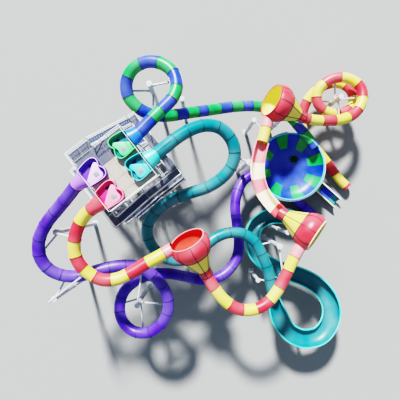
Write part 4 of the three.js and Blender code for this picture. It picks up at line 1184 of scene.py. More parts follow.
def start_tub(name, a, side, wall, rim, seat, well):
    """A moulded tub: walls with a rounded rim, a seat, a pad and a well, open at its front."""
    def across(points):
        line = [(side * y * HALF, -x * HALF, 0) for x, y in points]
        return line if side < 0 else line[::-1]

    def raised(o, up, *insets):
        with editing(o):
            bpy.ops.mesh.edge_face_add()
            bpy.ops.mesh.extrude_region_move(TRANSFORM_OT_translate={"value": (0, 0, up)})
            for inward, lift in insets:
                bpy.ops.mesh.inset(thickness=inward, depth=lift)
            bpy.ops.mesh.select_all(action="SELECT")
            bpy.ops.mesh.normals_make_consistent(inside=False)
        return o

    high, floor = TUB_HIGH * HALF, TUB_FLOOR * HALF
    body = raised(drawn("tub", across(softened(TUB_LINE)), True), high - 0.016,
                  (0.005, 0.011), (0.009, 0.005), (0.018, 0.0), (0.009, -0.005), (0.006, -0.011),
                  (0.012, floor + 0.03 - high + 0.016), (0.03, -0.03))
    cut(body, block("front", (-0.07, -0.5, floor + 0.012), (0.07, 0.54, high + 0.1)))

    # Rim and seat get the pale colours that paint sunlight on the tub's upward faces
    def pick(c, n):
        if c.z > high - 0.03:
            return rim
        return well if c.z < floor + 0.034 and n.z > 0.3 else wall

    colour_by(body, [wall, rim, well], pick)
    step = raised(drawn("seat", across(softened(SEAT_LINE)), True),
                  (TUB_SEAT - TUB_FLOOR) * HALF - 0.012, (0.006, 0.008), (0.01, 0.004))
    placed(finish_all(step, seat), Matrix.Translation((0, 0, floor)))
    pad = finish_all(block("pad", (-0.14, -0.14, 0), (0.14, 0.14, 0.012), 0.004), "pad")
    placed(pad, Matrix.Translation((side * -0.66, -0.19, TUB_SEAT * HALF - 0.004)))
    # A second pad, near black: painted shade that the tub's wall casts on it
    mat = finish_all(block("mat", (-0.14, -0.085, 0), (0.14, 0.085, 0.01), 0.003), "well_mat")
    placed(mat, Matrix.Translation((side * -0.675, 0.41, floor - 0.002)))
    o = smooth(joined(name + "_shell", [step, pad, mat, body]), 40)
    return placed(o, tower_frame(DECK_Z) @ Matrix.Translation((side * TUB_FRONT * HALF, -a * HALF, 0)))


# Bowl, chute and stand
BOWL = (13.2, 4.86)
DRAIN = (14.05, 6.1)
TUBE_SHORT = 0.01  # how far before the end of its route the blue tube stops
BOWL_LINE = [  # along the inside, over the rim and back underneath: radius and height
    (0, 4.55), (0.6, 4.6), (1.5, 4.75), (2.85, 5.0), (3.5, 5.15), (3.95, 5.34), (4.25, 5.55),
    (4.5, 5.85), (4.62, 6.15), (4.7, 6.42), (4.72, 6.47), (4.8, 6.5), (4.9, 6.48), (4.93, 6.42),
    (4.9, 6.36), (4.8, 6.34), (4.72, 6.1), (4.6, 5.78), (4.35, 5.45), (4.0, 5.22), (2.85, 4.9), (0, 4.45),
]
PANELS = 16
PANEL = 360 / PANELS  # degrees from one panel to the next
FIRST_PANEL = 3.75  # degrees


def bowl(route, sizes):
    """The bowl: blue with green wall panels, a rolled rim, seams, a drain and the tube's way in."""
    shell = turned("bowl", [(z * HALF, r * HALF) for r, z in BOWL_LINE], 96, "Z")

    def pick(c, n):
        r = math.hypot(c.x, c.y) / HALF
        if c.z > 6.4 * HALF or (r > 4.86 and c.z > 6.33 * HALF):
            return "sky"
        k = math.floor((math.degrees(math.atan2(c.y, c.x)) - FIRST_PANEL) / PANEL)
        inside = n.x * c.x + n.y * c.y < 0 or n.z > 0.6
        if r > 2.7 and inside and k % 2 == 0:
            return "green"
        return "blue" if inside else "navy"

    colour_by(shell, ["blue", "green", "sky", "navy"], pick)
    wall = BOWL_LINE[3:11]
    seam = raised_seam([(r * HALF, (z + 0.012) * HALF) for r, z in wall], 0.014, 0.006)
    seams = copies(seam, [Matrix.Rotation(math.radians(FIRST_PANEL + PANEL * k), 4, "Z")
                          for k in range(PANELS)])
    at_drain = Matrix.Translation(((DRAIN[0] - BOWL[0]) * HALF, (DRAIN[1] - BOWL[1]) * HALF, 0))
    collar = turned("collar", [(2.31, 0.3), (2.43, 0.3), (2.44, 0.33), (2.41, 0.36), (2.35, 0.36),
                               (2.31, 0.3)], 32, "Z")
    placed(finish_all(collar, "blue"), at_drain)
    hole = turned("hole", [(2.1, 0), (2.1, 0.3), (2.7, 0.3), (2.7, 0)], 32, "Z")
    cut(shell, placed(hole, at_drain))
    for o in [shell, collar, *seams]:
        placed(o, Matrix.Translation(spot(*BOWL)))
    way_in = plug(route, route.length - TUBE_SHORT, sizes)
    for part in [shell, *seams]:
        cut(part, way_in, keep_tool=True)
    bpy.data.objects.remove(way_in)
    return smooth(joined("bowl_shell", [collar, *seams, shell]))


def bowl_entry(route, room, sizes):
    """The flange where the tube meets the bowl's wall, and the cap that closes it behind the wall."""
    start, stop, r = route.length - PLUG, route.length - TUBE_SHORT, sizes.tube_radius
    rings = [start + 0.18 * k for k in range(10)] + [route.length - 0.04]
    edge = follow(turned("entry_flange", [(x, r + 0.012) for x in rings], 40), route)
    walled(edge, 0.026)
    cap = turned("cap", [(stop - 0.02, 0), (stop - 0.02, r - 0.004), (stop, r - 0.004), (stop, 0)], 40)
    cut(follow(cap, route), room, keep_tool=True)
    outside = turned("outside", [(2.2, 2.36), (4.6, 2.36), (4.6, 9), (2.2, 9), (2.2, 2.36)], 96, "Z")
    placed(outside, Matrix.Translation(spot(*BOWL)))
    for tool in (room, outside):
        cut(edge, tool, keep_tool=True)
    bpy.data.objects.remove(outside)
    return [finish_all(edge, "mint"), finish_all(cap, "blue")]


def bowl_chute(sizes):
    """The closed pot under the drain, its pipe and the open chute that leads away."""
    route = Route(BOWL_CHUTE)
    end = route.length / HALF
    # The chute's rims take the pale sunlit yellow: a painted highlight along them
    open_part = flume("chute", route, 1.75, end, CHUTE_DEPTH, CHUTE_DEPTH, 0.15, CHUTE_JOINTS,
                      CHUTE_COLOURS, "cream", sizes)
    r, w, h = sizes.tube_radius, sizes.rib_width / 2, sizes.rib_height
    stop = 1.9 * HALF
    bottom = [(0, 0), (0, r * 0.8), (0.05, r * 0.97), (0.1, r)]
    sides = [(0.1 + (stop - 0.1 - w) * k / 5, r) for k in range(1, 6)]
    pot = turned("pot", [*bottom, *sides, (stop - w, r + h), (stop, r + h)], 28)
    walled(follow(pot, route), sizes.tube_wall)
    at = Matrix.Translation(spot(*DRAIN))
    bore = turned("bore", [(1.6, 0), (1.6, 0.27), (2.6, 0.27), (2.6, 0)], 28, "Z")
    cut(pot, placed(bore, at))
    pipe = turned("pipe", [(1.76, 0.3), (2.05, 0.3), (2.05, 0.34), (2.09, 0.34), (2.09, 0.3),
                           (2.33, 0.3), (2.33, 0.275), (1.76, 0.275), (1.76, 0.3)], 28, "Z")
    for o in (pot, placed(pipe, at)):
        smooth(finish_all(o, "green"))
    return smooth(joined("bowl_chute_shell", [pipe, pot, open_part]))


RING_TURN = (95, 378)  # degrees from which and to which the ring reaches
RING_LEGS = (97, 145, 215, 262, 322, 372)
RING_TOP = 6.35 * HALF


def bowl_stand(sizes):
    """A box ring under the bowl's rim on round legs with wider heads and base plates."""
    start, stop = RING_TURN
    high, low, near, far = RING_TOP, RING_TOP - 0.1, 2.42, 2.53
    hoop = drawn("hoop", [(near, 0, low), (far, 0, low), (far, 0, high), (near, 0, high)], True)
    with editing(hoop):
        bpy.ops.mesh.edge_face_add()
        bpy.ops.mesh.spin(steps=60, angle=math.radians(stop - start), center=(0, 0, 0), axis=(0, 0, 1))
        bpy.ops.mesh.select_all(action="SELECT")
        bpy.ops.mesh.normals_make_consistent(inside=False)
    placed(hoop, Matrix.Rotation(math.radians(stop), 4, "Z"))  # spin turns it backwards from there
    places = [Matrix.Rotation(math.radians(turn), 4, "Z") @ Matrix.Translation((2.475, 0, 0))
              for turn in RING_LEGS]
    leg = turned("leg", [(0.02, 0), (0.02, 0.06), (low - 0.02, 0.06), (low - 0.02, 0.09), (low, 0.09),
                         (low, 0)], 14, "Z")
    steel = finish_all(joined("steel", [hoop, *copies(leg, places)]), "white_steel")
    feet = copies(base_plate(0.13, sizes), places)
    return smooth(placed(joined("bowl_stand_steel", [*feet, steel]), Matrix.Translation(spot(*BOWL))))


# Columns, arms and saddles
COLUMNS = (  # node, place, top, radius, arms: (route, place, lowest and highest z)
    ("column_1", -17.0, -3.81, 16.4, 0.3, (("purple", -18.85, -6.1), ("red_top", -14.3, -4.5))),
    ("column_2", -18.0, -12.2, 14.5, 0.3, (("purple", -16.35, -9.2), ("red_top", -13.07, -8.33))),
    ("column_3", -8.17, -13.7, 12.0, 0.3, (
        ("purple", -4.2, -14.0, 11), ("purple", -11.0, -14.5, 8), ("purple", -7.8, -17.7),
        ("purple", -7.5, -8.6, 12))),
    ("column_4", 10.25, -5.97, 12.6, 0.3, (("red_middle", 10.75, -9.7), ("turquoise", 8.0, -6.4, 8))),
    ("column_5", 19.9, 14.6, 8.0, 0.3, (
        ("coil", 17.2, 14.9, 5.5, 6.4), ("coil", 20.0, 11.34, 7.5), ("coil", 23.1, 15.0, 7),
        ("coil", 20.0, 17.7, 6))),
    ("column_6", 6.04, 4.7, 14.4, 0.3, (("turquoise", 4.1, 5.4, 15), ("red_flume", 7.65, 4.79))),
    ("column_7", -2.33, 13.1, 12.2, 0.26, (("blue", -1.8, 11.1, 11.5, 13),)),
    ("column_8", 7.4, 10.9, 9.6, 0.26, (("red_flume", 8.95, 9.2),)),
    ("column_9", 8.3, -11.46, 7.2, 0.26, (("turquoise", 10.0, -11.8, 7),)),
    ("column_10", -5.96, 13.6, 16.8, 0.28, (
        ("blue", -2.9, 14.2, 16), ("blue", -8.9, 13.6, 14.6, 16), ("blue", -6.0, 10.7, 13, 14.5))),
)
POSTS = (  # node, route, place
    ("post_1", "purple", -2.1, -10.8), ("post_2", "purple", 5.3, -0.5), ("post_3", "purple", 14.2, 0.7),
    ("post_4", "wide", 15.0, -20.2), ("post_5", "wide", 19.5, -16.2), ("post_6", "wide", 8.0, -5.8),
    ("post_7", "coil", 16.1, 11.0), ("post_8", "coil", 20.5, 5.4), ("post_9", "bowl_chute", 18.6, 2.3),
)
POST_RADIUS = 0.2
FUNNEL_COLUMNS = (  # node, place
    ("funnel_column_1", 0.9, -8.7), ("funnel_column_2", 11.4, -4.2), ("funnel_column_3", 11.2, 11.2),
)
UNDER = {  # half width and depth of the open slides
    "wide": (0.59, WIDE_DEPTH), "red_flume": (0.39, CHUTE_DEPTH), "bowl_chute": (0.375, CHUTE_DEPTH),
}
ARM_DROP = 0.225  # from the underside of a slide to the middle of its arm


def pole(x, y, top, radius, sizes):
    """A round column with a base plate, a cap and a splice if it is tall, as two loose parts."""
    r, tall = radius * HALF, top * HALF
    line = [(0.02, 0), (0.02, r + 0.02), (0.04, r)]
    if tall > 3.5:
        z = tall / 2
        line += [(z - 0.014, r), (z - 0.014, r + 0.03), (z + 0.014, r + 0.03), (z + 0.014, r)]
    line += [(tall - 0.02, r), (tall - 0.02, r + 0.036), (tall - 0.006, r + 0.036), (tall, r + 0.01),
             (tall + 0.004, 0)]
    at = Matrix.Translation(spot(x, y))
    shaft = placed(finish_all(turned("shaft", line, 20, "Z"), "white_steel"), at)
    return [placed(base_plate(r + 0.09, sizes), at), shaft]


def saddle(route, s, half, depth, lean=0.0):
    """A half ring that cradles a slide."""
    arc = [(half * math.cos(a), depth * math.sin(a))
           for a in (math.radians(-160 + 140 * k / 14) for k in range(15))]
    o = extruded("saddle", [(-0.05, y, z) for y, z in arc], (0.1, 0, 0), closed=False)
    flip_if(o, lowest_face(o).normal.z > 0)
    walled(o, 0.012, 1.0)
    return placed(finish_all(o, "white_steel"), route.axes(s) @ Matrix.Rotation(lean, 4, "X"))


def column(x, y, top, radius, arms, routes, sizes, slides):
    """A column with an arm, a stub and a saddle for each slide that it carries."""
    parts = pole(x, y, top, radius, sizes)
    foot = spot(x, y)
    for key, ax, ay, *levels in arms:
        route, lean = routes[key]
        s = route.near(ax, ay, *levels)
        p = route.at(s)[0]
        open_slide = key in UNDER and not (key == "red_flume" and s > route.near(*FLUME_CLOSES))
        half, depth = UNDER[key] if open_slide else (slides.tube_radius,) * 2
        under = p.z - (CHUTE_DEPTH if key == "red_flume" else depth)
        z = max(under - ARM_DROP, 0.075)
        a, b = Vector((foot.x, foot.y, z)), Vector((p.x, p.y, z))
        if (b - a).length > 0.15:
            t, r = (b - a).normalized(), radius * HALF
            parts.append(bar("arm", a, b, 0.062, 14))
            parts.append(bar("root", a + t * (r - 0.01), a + t * (r + 0.05), 0.095, 14))
            parts.append(bar("strut", a + t * 0.42, a - Vector((0, 0, 0.42)), 0.03, 10))
        parts.append(bar("stub", (p.x, p.y, z - 0.065), (p.x, p.y, under - 0.01), 0.075, 12))
        gap = 0.026 if open_slide else slides.rib_height + 0.003
        parts.append(saddle(route, s, half + gap, depth + gap, lean(s) if lean else 0.0))
    for o in parts[1:]:
        finish_all(o, "white_steel")
    return smooth(joined("column", parts))


def funnel_cradle(axes, s, radius, shapes):
    """A ring segment that holds a funnel's cone from below."""
    slope = (shapes.neck_radius - shapes.joint_radius) / shapes.cone_length
    arc = [(math.cos(a), math.sin(a)) for a in (math.radians(-150 + 120 * k / 16) for k in range(17))]
    r0, r1 = radius - slope * 0.08 + shapes.seam_height, radius + slope * 0.08 + shapes.seam_height
    o = extruded("cradle", [(-0.08, y * r0, z * r0) for y, z in arc], (0.16, 0, 0), closed=False)
    with editing(o):
        pick_points(o, lambda v: v.co.x > 0)
        bpy.ops.transform.resize(value=(1, r1 / r0, r1 / r0), center_override=(0.08, 0, 0))
    flip_if(o, lowest_face(o).normal.z > 0)
    walled(o, 0.016, 1.0)
    return placed(finish_all(o, "white_steel"), axes @ Matrix.Translation((s, 0, 0)))


def wide_bank(route, s):
    """How far the wide flume leans into its bends."""
    return max(-0.35, min(0.35, -route.turning(s) * 1.4)) * min(1.0, s / 1.5)


# Settings that a user would change
class SlideSizes(bpy.types.PropertyGroup):
    """Sizes of the tubes and the open slides"""

    tube_radius: FloatProperty(
        name="Tube radius", description="Outside radius of the closed tubes",
        default=0.36, min=0.1, unit="LENGTH")
    mouth_wide: FloatProperty(
        name="Mouth width", description="How much wider a tube is where it leaves its tub",
        default=1.5, min=1)
    tube_wall: FloatProperty(
        name="Tube wall", description="Thickness of the fibreglass", default=0.014, unit="LENGTH")
    tube_sides: IntProperty(
        name="Tube sides", description="Faces round a tube", default=28, min=12)
    ring_step: FloatProperty(
        name="Ring spacing", description="Length of one face along a tube", default=0.19,
        unit="LENGTH")
    section: FloatProperty(
        name="Section length", description="Distance between the joints of a plain slide",
        default=0.97, unit="LENGTH")
    rib_width: FloatProperty(
        name="Joint width", description="Width of a flanged joint", default=0.066, unit="LENGTH")
    rib_height: FloatProperty(
        name="Joint height", description="How far a joint stands out", default=0.02,
        unit="LENGTH")
    gasket_width: FloatProperty(
        name="Gasket width", description="Width of the dark gasket in a joint", default=0.038,
        unit="LENGTH")
    bolts: IntProperty(name="Bolts", description="Bolt heads round a joint", default=12)
    bolt_radius: FloatProperty(
        name="Bolt radius", description="Radius of a bolt head", default=0.009, unit="LENGTH")
    flume_wall: FloatProperty(
        name="Flume wall", description="Thickness of an open flume", default=0.022, unit="LENGTH")
    rim_width: FloatProperty(
        name="Rim width", description="Width of a flume's rolled rim", default=0.055,
        unit="LENGTH")
    wide_half: FloatProperty(
        name="Wide flume half width", description="Half the width of the wide open flume",
        default=0.59, unit="LENGTH")
    chute_half: FloatProperty(
        name="Chute half width", description="Half the width of the narrow open chutes",
        default=0.39, unit="LENGTH")


class FunnelSizes(bpy.types.PropertyGroup):
    """Sizes of the three funnels"""

    mouth_radius: FloatProperty(
        name="Mouth radius", description="Outside radius at the mouth", default=1.075,
        unit="LENGTH")
    bulge_radius: FloatProperty(
        name="Bulge radius", description="Outside radius of the band where it is widest",
        default=1.25, unit="LENGTH")
    joint_radius: FloatProperty(
        name="Joint radius", description="Outside radius where band and cone meet",
        default=1.0, unit="LENGTH")
    neck_radius: FloatProperty(
        name="Neck radius", description="Outside radius of the neck", default=0.4, unit="LENGTH")
    band_length: FloatProperty(
        name="Band length", description="Length of the band along the axis", default=1.1,
        unit="LENGTH")
    cone_length: FloatProperty(
        name="Cone length", description="Length of the cone along the axis", default=1.2,
        unit="LENGTH")
    neck_length: FloatProperty(
        name="Neck length", description="Length of the neck along the axis", default=0.5,
        unit="LENGTH")
    funnel_wall: FloatProperty(
        name="Wall", description="Thickness of the fibreglass", default=0.03, unit="LENGTH")
    funnel_sides: IntProperty(name="Sides", description="Faces round a funnel", default=56)
    seams: IntProperty(name="Seams", description="Lengthwise seams round a funnel", default=8)
    seam_width: FloatProperty(
        name="Seam width", description="Width of a dark seam", default=0.055, unit="LENGTH")
    seam_height: FloatProperty(
        name="Seam height", description="How far a seam stands out", default=0.014,
        unit="LENGTH")
    tilt: FloatProperty(
        name="Tilt", description="How steeply the axis falls", default=math.radians(22),
        unit="ROTATION")


class TowerSizes(bpy.types.PropertyGroup):
    """Sizes of the steelwork"""

    leg: FloatProperty(
        name="Leg", description="Depth and width of the H-section legs", default=0.15, unit="LENGTH")
    rail_height: FloatProperty(
        name="Rail height", description="Height of the guard rails", default=0.55, unit="LENGTH")
    post_step: FloatProperty(
        name="Post spacing", description="Distance between rail posts", default=0.8, unit="LENGTH")
    bar_step: FloatProperty(
        name="Bar spacing", description="Distance between the fine bars", default=0.1, unit="LENGTH")
    anchor_radius: FloatProperty(
        name="Anchor radius", description="Radius of an anchor nut", default=0.014, unit="LENGTH")


def paint(name, hint, rgb):
    """A colour setting, from an sRGB triple of 0 to 255."""
    linear = [((c / 255 + 0.055) / 1.055) ** 2.4 if c > 10 else c / 255 / 12.92 for c in rgb]
    return FloatVectorProperty(name=name, description=hint, subtype="COLOR", size=3,
                               min=0, max=1, default=linear)


class SlideColours(bpy.types.PropertyGroup):
    """Colours of the fibreglass and the coated steel"""

    purple: paint("Purple", "Gelcoat of the purple slide", (72, 30, 172))
    turquoise: paint("Turquoise", "Gelcoat of the turquoise slide", (0, 118, 128))
    blue: paint("Blue", "Blue gelcoat of the bowl slide", (0, 56, 174))
    green: paint("Green", "Green gelcoat of the bowl slide", (0, 152, 68))
    red: paint("Red", "Red gelcoat of the funnel slide", (214, 54, 66))
    yellow: paint("Yellow", "Yellow gelcoat of the funnel slide", (229, 208, 84))
    # Painted sunlight: a paler copy of the red for sections and the first funnel's rim where the sun
    # falls, rather than faded gelcoat
    pink: paint("Pink", "Sun-faded red sections and rims", (236, 132, 140))
    # Painted sunlight: a pale copy of the yellow for the flume's sections and, as a painted highlight,
    # for the chute's and the second funnel's rims
    cream: paint("Cream", "Palest sections and rims", (250, 236, 196))
    orange: paint("Orange", "Inside of the first funnel", (224, 50, 16))
    # Painted light: a paler yellow, so that the shaded insides of the second and third funnel look sunlit
    primrose: paint("Primrose", "Inside of the second and third funnel", (246, 236, 128))
    # Painted sunlight: a paler copy of the purple for the tub's seat and rim, the upward faces where the
    # sun falls
    lilac: paint("Lilac", "Seat and rim of the purple tub", (222, 182, 240))
    # Painted sunlight: a paler copy of the purple, for the slide's first section where the sun falls
    lavender: paint("Lavender", "First section of the purple slide", (158, 108, 226))
    # Painted sunlight: a paler copy of the tub's magenta for its seat and rim, the upward faces where the
    # sun falls
    rose: paint("Rose", "Seat and rim of the red tub", (240, 146, 176))
    salmon: paint("Salmon", "First section of the red slide", (222, 72, 82))
    magenta: paint("Magenta", "Walls of the red tub", (224, 40, 124))
    # A pale green; on the green tub's seat and rim it is painted sunlight on the upward faces
    mint: paint("Mint", "Seat and rim of the green tub", (100, 224, 130))
    leaf: paint("Leaf", "Walls of the green tub", (34, 150, 88))
    # Painted sunlight: a paler copy of the turquoise, for the tub's seat and rim, the slide's first
    # section and the wide flume's rims
    aqua: paint("Aqua", "Seat and rim of the turquoise tub", (66, 218, 212))
    lagoon: paint("Lagoon", "Wells of the green and turquoise tubs", (14, 112, 128))
    # Painted sunlight: a paler copy of the blue, for the slide's first section where the sun falls
    azure: paint("Azure", "First section of the blue slide", (16, 104, 222))
    sky: paint("Sky", "The bowl's rim", (100, 184, 236))
    navy: paint("Navy", "Underside of the bowl", (24, 60, 150))
    violet: paint("Violet", "Well of the purple tub", (92, 36, 190))
    steel: paint("Steel", "Paint of columns and frames", (196, 200, 204))
    rail: paint("Rails", "Paint of the guard rails", (244, 244, 242))
    # Grey plates of the landing, and a row of painted shadow on the deck
    slate: paint("Slate", "Darker floor plates of the deck", (86, 90, 106))
    walkway: paint("Walkways", "Floor plates of the walkways", (98, 103, 118))
    deck: paint("Deck", "Panels of the start deck", (172, 164, 150))
    tread: paint("Treads", "Coating of the stairs", (100, 116, 156))


def sections(length, step, first=0.0):
    """Evenly spaced joints in real metres, the first one a step from a place."""
    return [first + step * k for k in range(1, int((length - first) / step))]


# Operators
class SLIDE_OT_stage(bpy.types.Operator):
    """Adds the floor, the lights and the camera straight above"""

    bl_idname = "slide.stage"
    bl_label = "Stage"

    def execute(self, context):
        deselected()
        bpy.ops.mesh.primitive_plane_add(size=400, location=(0, 0, -0.002))
        floor = named(context.object, "floor")
        m = bpy.data.materials.new("floor")
        m.use_nodes = True
        base = m.node_tree.nodes["Principled BSDF"]
        base.inputs["Base Color"].default_value = (0.3, 0.3, 0.29, 1)
        base.inputs["Roughness"].default_value = 0.9
        floor.data.materials.append(m)
        scene = context.scene
        scene.view_settings.view_transform = "Filmic"
        scene.view_settings.look = "Very High Contrast"
        world = bpy.data.worlds.new("soft_sky")
        scene.world = world
        world.use_nodes = True
        sky = world.node_tree.nodes["Background"]
        sky.inputs["Color"].default_value = (0.62, 0.79, 1.0, 1)
        sky.inputs["Strength"].default_value = 0.42
        for name, power, size, azimuth, height in (
                ("key", 8.8, 6, -15, 42), ("fill", 0.2, 60, -130, 40)):
            bpy.ops.object.light_add(type="SUN", location=(0, 0, 20))
            lamp = context.object
            lamp.name = name
            lamp.data.energy = power
            lamp.data.angle = math.radians(size)
            a, e = math.radians(azimuth), math.radians(height)
            towards = Vector((math.sin(a) * math.cos(e), math.cos(a) * math.cos(e), math.sin(e)))
            lamp.rotation_euler = towards.to_track_quat("Z", "Y").to_euler()
        bpy.ops.object.camera_add(location=spot(0, 0, EYE_HEIGHT), rotation=(0, 0, 0))
        camera = context.object
        camera.data.sensor_width = SENSOR
        camera.data.lens = SENSOR * FOCAL / PICTURE
        camera.data.clip_end = 500
        scene.camera = camera
        return {"FINISHED"}


class SLIDE_OT_plain_slides(bpy.types.Operator):
    """Builds the purple tube and the turquoise tube with its wide flume"""

    bl_idname = "slide.plain_slides"
    bl_label = "Purple and Turquoise Slides"

    def execute(self, context):
        sizes = context.scene.slide_sizes
        step = sizes.section / HALF
        side = tub_side()
        route = Route(PURPLE)
        end = route.length / HALF
        # Its first section is painted in the paler sunlit purple: painted sunlight on the flared mouth
        o = tube("purple_slide", route, 0.0, end, [1.65] + sections(end, step, 0.26)[1:],
                 ["lavender", "purple"], sizes, True, [side])
        dressed(o, "purple_fibreglass", "purple_tube_1", "purple_tube_2", "purple_tube_3")
        route = Route(TURQUOISE)
        end = route.length / HALF
        # Its first section is painted in the paler sunlit turquoise: painted sunlight on the flared mouth
        o = tube("turquoise_slide", route, 0.0, end, [1.5] + sections(end, step, 0.36)[1:],
                 ["aqua", "turquoise"], sizes, True, [side], top_seam=(1.6, 3.7))
        dressed(o, "turquoise_fibreglass", "turquoise_tube_1", "turquoise_tube_2")
        bpy.data.objects.remove(side)
        route = Route(WIDE_FLUME)
        end = route.length / HALF
        first = [sizes.tube_radius / full for full in (sizes.wide_half, WIDE_DEPTH)]
        # Its rims are painted in the paler sunlit turquoise: a painted highlight along the rolled edges
        o = flume("turquoise_wide_flume", route, 0.0, end, sizes.wide_half, WIDE_DEPTH, 0.175,
                  sections(end, step), ["turquoise"], "aqua", sizes,
                  lambda s: wide_bank(route, s),
                  lambda x: [f + (1 - f) * min(1, x / GROWTH) for f in first])
        dressed(o, "turquoise_fibreglass", "turquoise_flume_1", "turquoise_flume_2")
        return {"FINISHED"}


class SLIDE_OT_bowl_slide(bpy.types.Operator):
    """Builds the blue and green tube that drops into the bowl"""

    bl_idname = "slide.bowl_slide"
    bl_label = "Blue and Green Slide"

    def execute(self, context):
        sizes = context.scene.slide_sizes
        route = Route(BLUE)
        side = tub_side()
        room = turned("room", [(2.4, 0), (2.4, 2.28), (4.4, 2.28), (4.4, 0)], 96, "Z")
        placed(room, Matrix.Translation(spot(*BOWL)))
        o = tube("blue_green_slide", route, 0.0, (route.length - TUBE_SHORT) / HALF, BLUE_JOINTS,
                 BLUE_COLOURS, sizes, True, [side, room], top_seam=(1.6, 3.5))
        o = joined("blue_green_slide", [*bowl_entry(route, room, sizes), o])
        dressed(o, "blue_fibreglass", "blue_tube_1", "blue_tube_2")
        for tool in (side, room):
            bpy.data.objects.remove(tool)
        return {"FINISHED"}


class SLIDE_OT_funnel_slide(bpy.types.Operator):
    """Builds the red and yellow tubes, the open flume, the coil and the three funnels"""

    bl_idname = "slide.funnel_slide"
    bl_label = "Red and Yellow Slide with Funnels"

    def execute(self, context):
        sizes = context.scene.slide_sizes
        shapes = context.scene.funnel_sizes
        top, middle, low, coil = (Route(w) for w in (RED_TOP, RED_MIDDLE, RED_FLUME, COIL))
        hollows = [funnel_hollow(p, shapes) for p in FUNNEL_PLACES]
        end = top.length / HALF
        side = tub_side()
        o = tube("red_slide_top", top, 0.0, end, RED_TOP_JOINTS, RED_TOP_COLOURS, sizes, True,
                 [hollows[0], side], False)
        bpy.data.objects.remove(side)
        dressed(o, "red_fibreglass", "red_tube_1")
        o = tube("red_slide_middle", middle, 0.02, middle.length / HALF, RED_MIDDLE_JOINTS,
                 RED_MIDDLE_COLOURS, sizes, False, [hollows[1]], False)
        dressed(o, "red_fibreglass", "red_tube_2")
        stop = low.near(*FLUME_CLOSES) / HALF
        o = flume("red_open_flume", low, 0.0, stop, sizes.chute_half, CHUTE_DEPTH, 0.125,
                  FLUME_JOINTS, FLUME_COLOURS, None, sizes)
        dressed(o, "red_fibreglass", "red_flume")
        # Its last section takes the paler sunlit red: painted sunlight
        o = tube("red_slide_low", low, stop, low.length / HALF, [12.4], ["yellow", "pink"], sizes,
                 False, [hollows[2]], False)
        dressed(o, "red_fibreglass", "red_tube_3")
        o = tube("red_coil", coil, 0.02, coil.length / HALF, COIL_JOINTS, COIL_COLOURS, sizes)
        dressed(o, "red_fibreglass", "red_coil_1", "red_coil_2")
        for h in hollows:
            bpy.data.objects.remove(h)
        for place, route in zip(FUNNEL_PLACES, (top, middle, low)):
            o = funnel(place, route, shapes, sizes)
            dressed(o, "yellow_fibreglass", place[0])
        return {"FINISHED"}


class SLIDE_OT_bowl(bpy.types.Operator):
    """Builds the bowl, its stand and the chute that leads out of it"""

    bl_idname = "slide.bowl"
    bl_label = "Bowl"

    def execute(self, context):
        slides, tower = context.scene.slide_sizes, context.scene.tower_sizes
        dressed(bowl(Route(BLUE), slides), "blue_fibreglass", "bowl")
        dressed(bowl_chute(slides), "green_fibreglass", "bowl_chute")
        dressed(bowl_stand(tower), "painted_steel", "bowl_stand")
        return {"FINISHED"}


class SLIDE_OT_tubs(bpy.types.Operator):
    """Builds the four start tubs"""

    bl_idname = "slide.tubs"
    bl_label = "Start Tubs"

    def execute(self, context):
        slots = {"purple_tub": "purple_fibreglass", "red_tub": "red_fibreglass",
                 "green_tub": "green_fibreglass", "turquoise_tub": "turquoise_fibreglass"}
        for tub in TUBS:
            dressed(start_tub(*tub), slots[tub[0]], tub[0])
        return {"FINISHED"}


class SLIDE_OT_deck(bpy.types.Operator):
    """Builds the start deck and its guard rails"""

    bl_idname = "slide.deck"
    bl_label = "Deck"

    def execute(self, context):
        sizes = context.scene.tower_sizes
        dressed(start_deck(), "deck_panels", "deck")
        for name, line in (("deck_rail_back", ((-3.6, 3.26), (-3.6, -0.4))),
                           ("deck_rail_low", ((-4.68, -0.7), (-4.68, -3.26), (-3.2, -3.26)))):
            o = named(guard([local(a, b) for a, b in line], sizes), name + "_bars")
            dressed(placed(o, tower_frame(DECK_Z)), "painted_steel", name)
        parts = [guard([local(3.22, -3.2), local(3.22, 3.2)], sizes)]
        tall = 1.75
        for b, posts in ((-3.2, (3.22, 0.1, -2.95)), (3.2, (3.22, -0.22, -3.3))):
            parts.append(bar("top_bar", local(posts[0], b, tall), local(posts[-1], b, tall), 0.014, 10))
            parts += [bar("upright", local(a, b), local(a, b, tall + 0.03), 0.016, 10) for a in posts]
        o = finish_all(joined("deck_rail_side_bars", parts), "rail")
        dressed(placed(o, tower_frame(DECK_Z)), "painted_steel", "deck_rail_side")
        return {"FINISHED"}


class SLIDE_OT_stairs(bpy.types.Operator):
    """Builds the six flights and the walkways between them"""

    bl_idname = "slide.stairs"
    bl_label = "Stairs"

    def execute(self, context):
        sizes = context.scene.tower_sizes
        steps, level = flight(sizes), walkway(sizes)
        other = Matrix.Translation((0, FAR_SHIFT, 0)) @ Matrix.Rotation(math.pi, 4, "Z")
        for i in range(FLIGHTS):
            at = tower_frame(LEVEL * i)
            turn = other if i % 2 else Matrix.Identity(4)
            parts = copies(steps, [at @ turn], keep=True)
            if i < FLIGHTS - 1:
                parts += copies(level, [at @ turn], keep=True)
                parts.append(placed(bearers(-1 if i % 2 else 1), at))
            o = joined("stair_%d_steps" % (i + 1), parts)
            dressed(o, "stair_steel", "stair_%d" % (i + 1))
        bpy.data.objects.remove(steps)
        bpy.data.objects.remove(level)
        return {"FINISHED"}


class SLIDE_OT_frames(bpy.types.Operator):
    """Builds the three braced leg frames under the deck"""

    bl_idname = "slide.frames"
    bl_label = "Leg Frames"

    def execute(self, context):
        for name, b in FRAMES:
            dressed(leg_frame(name, b, context.scene.tower_sizes), "painted_steel", name)
        return {"FINISHED"}


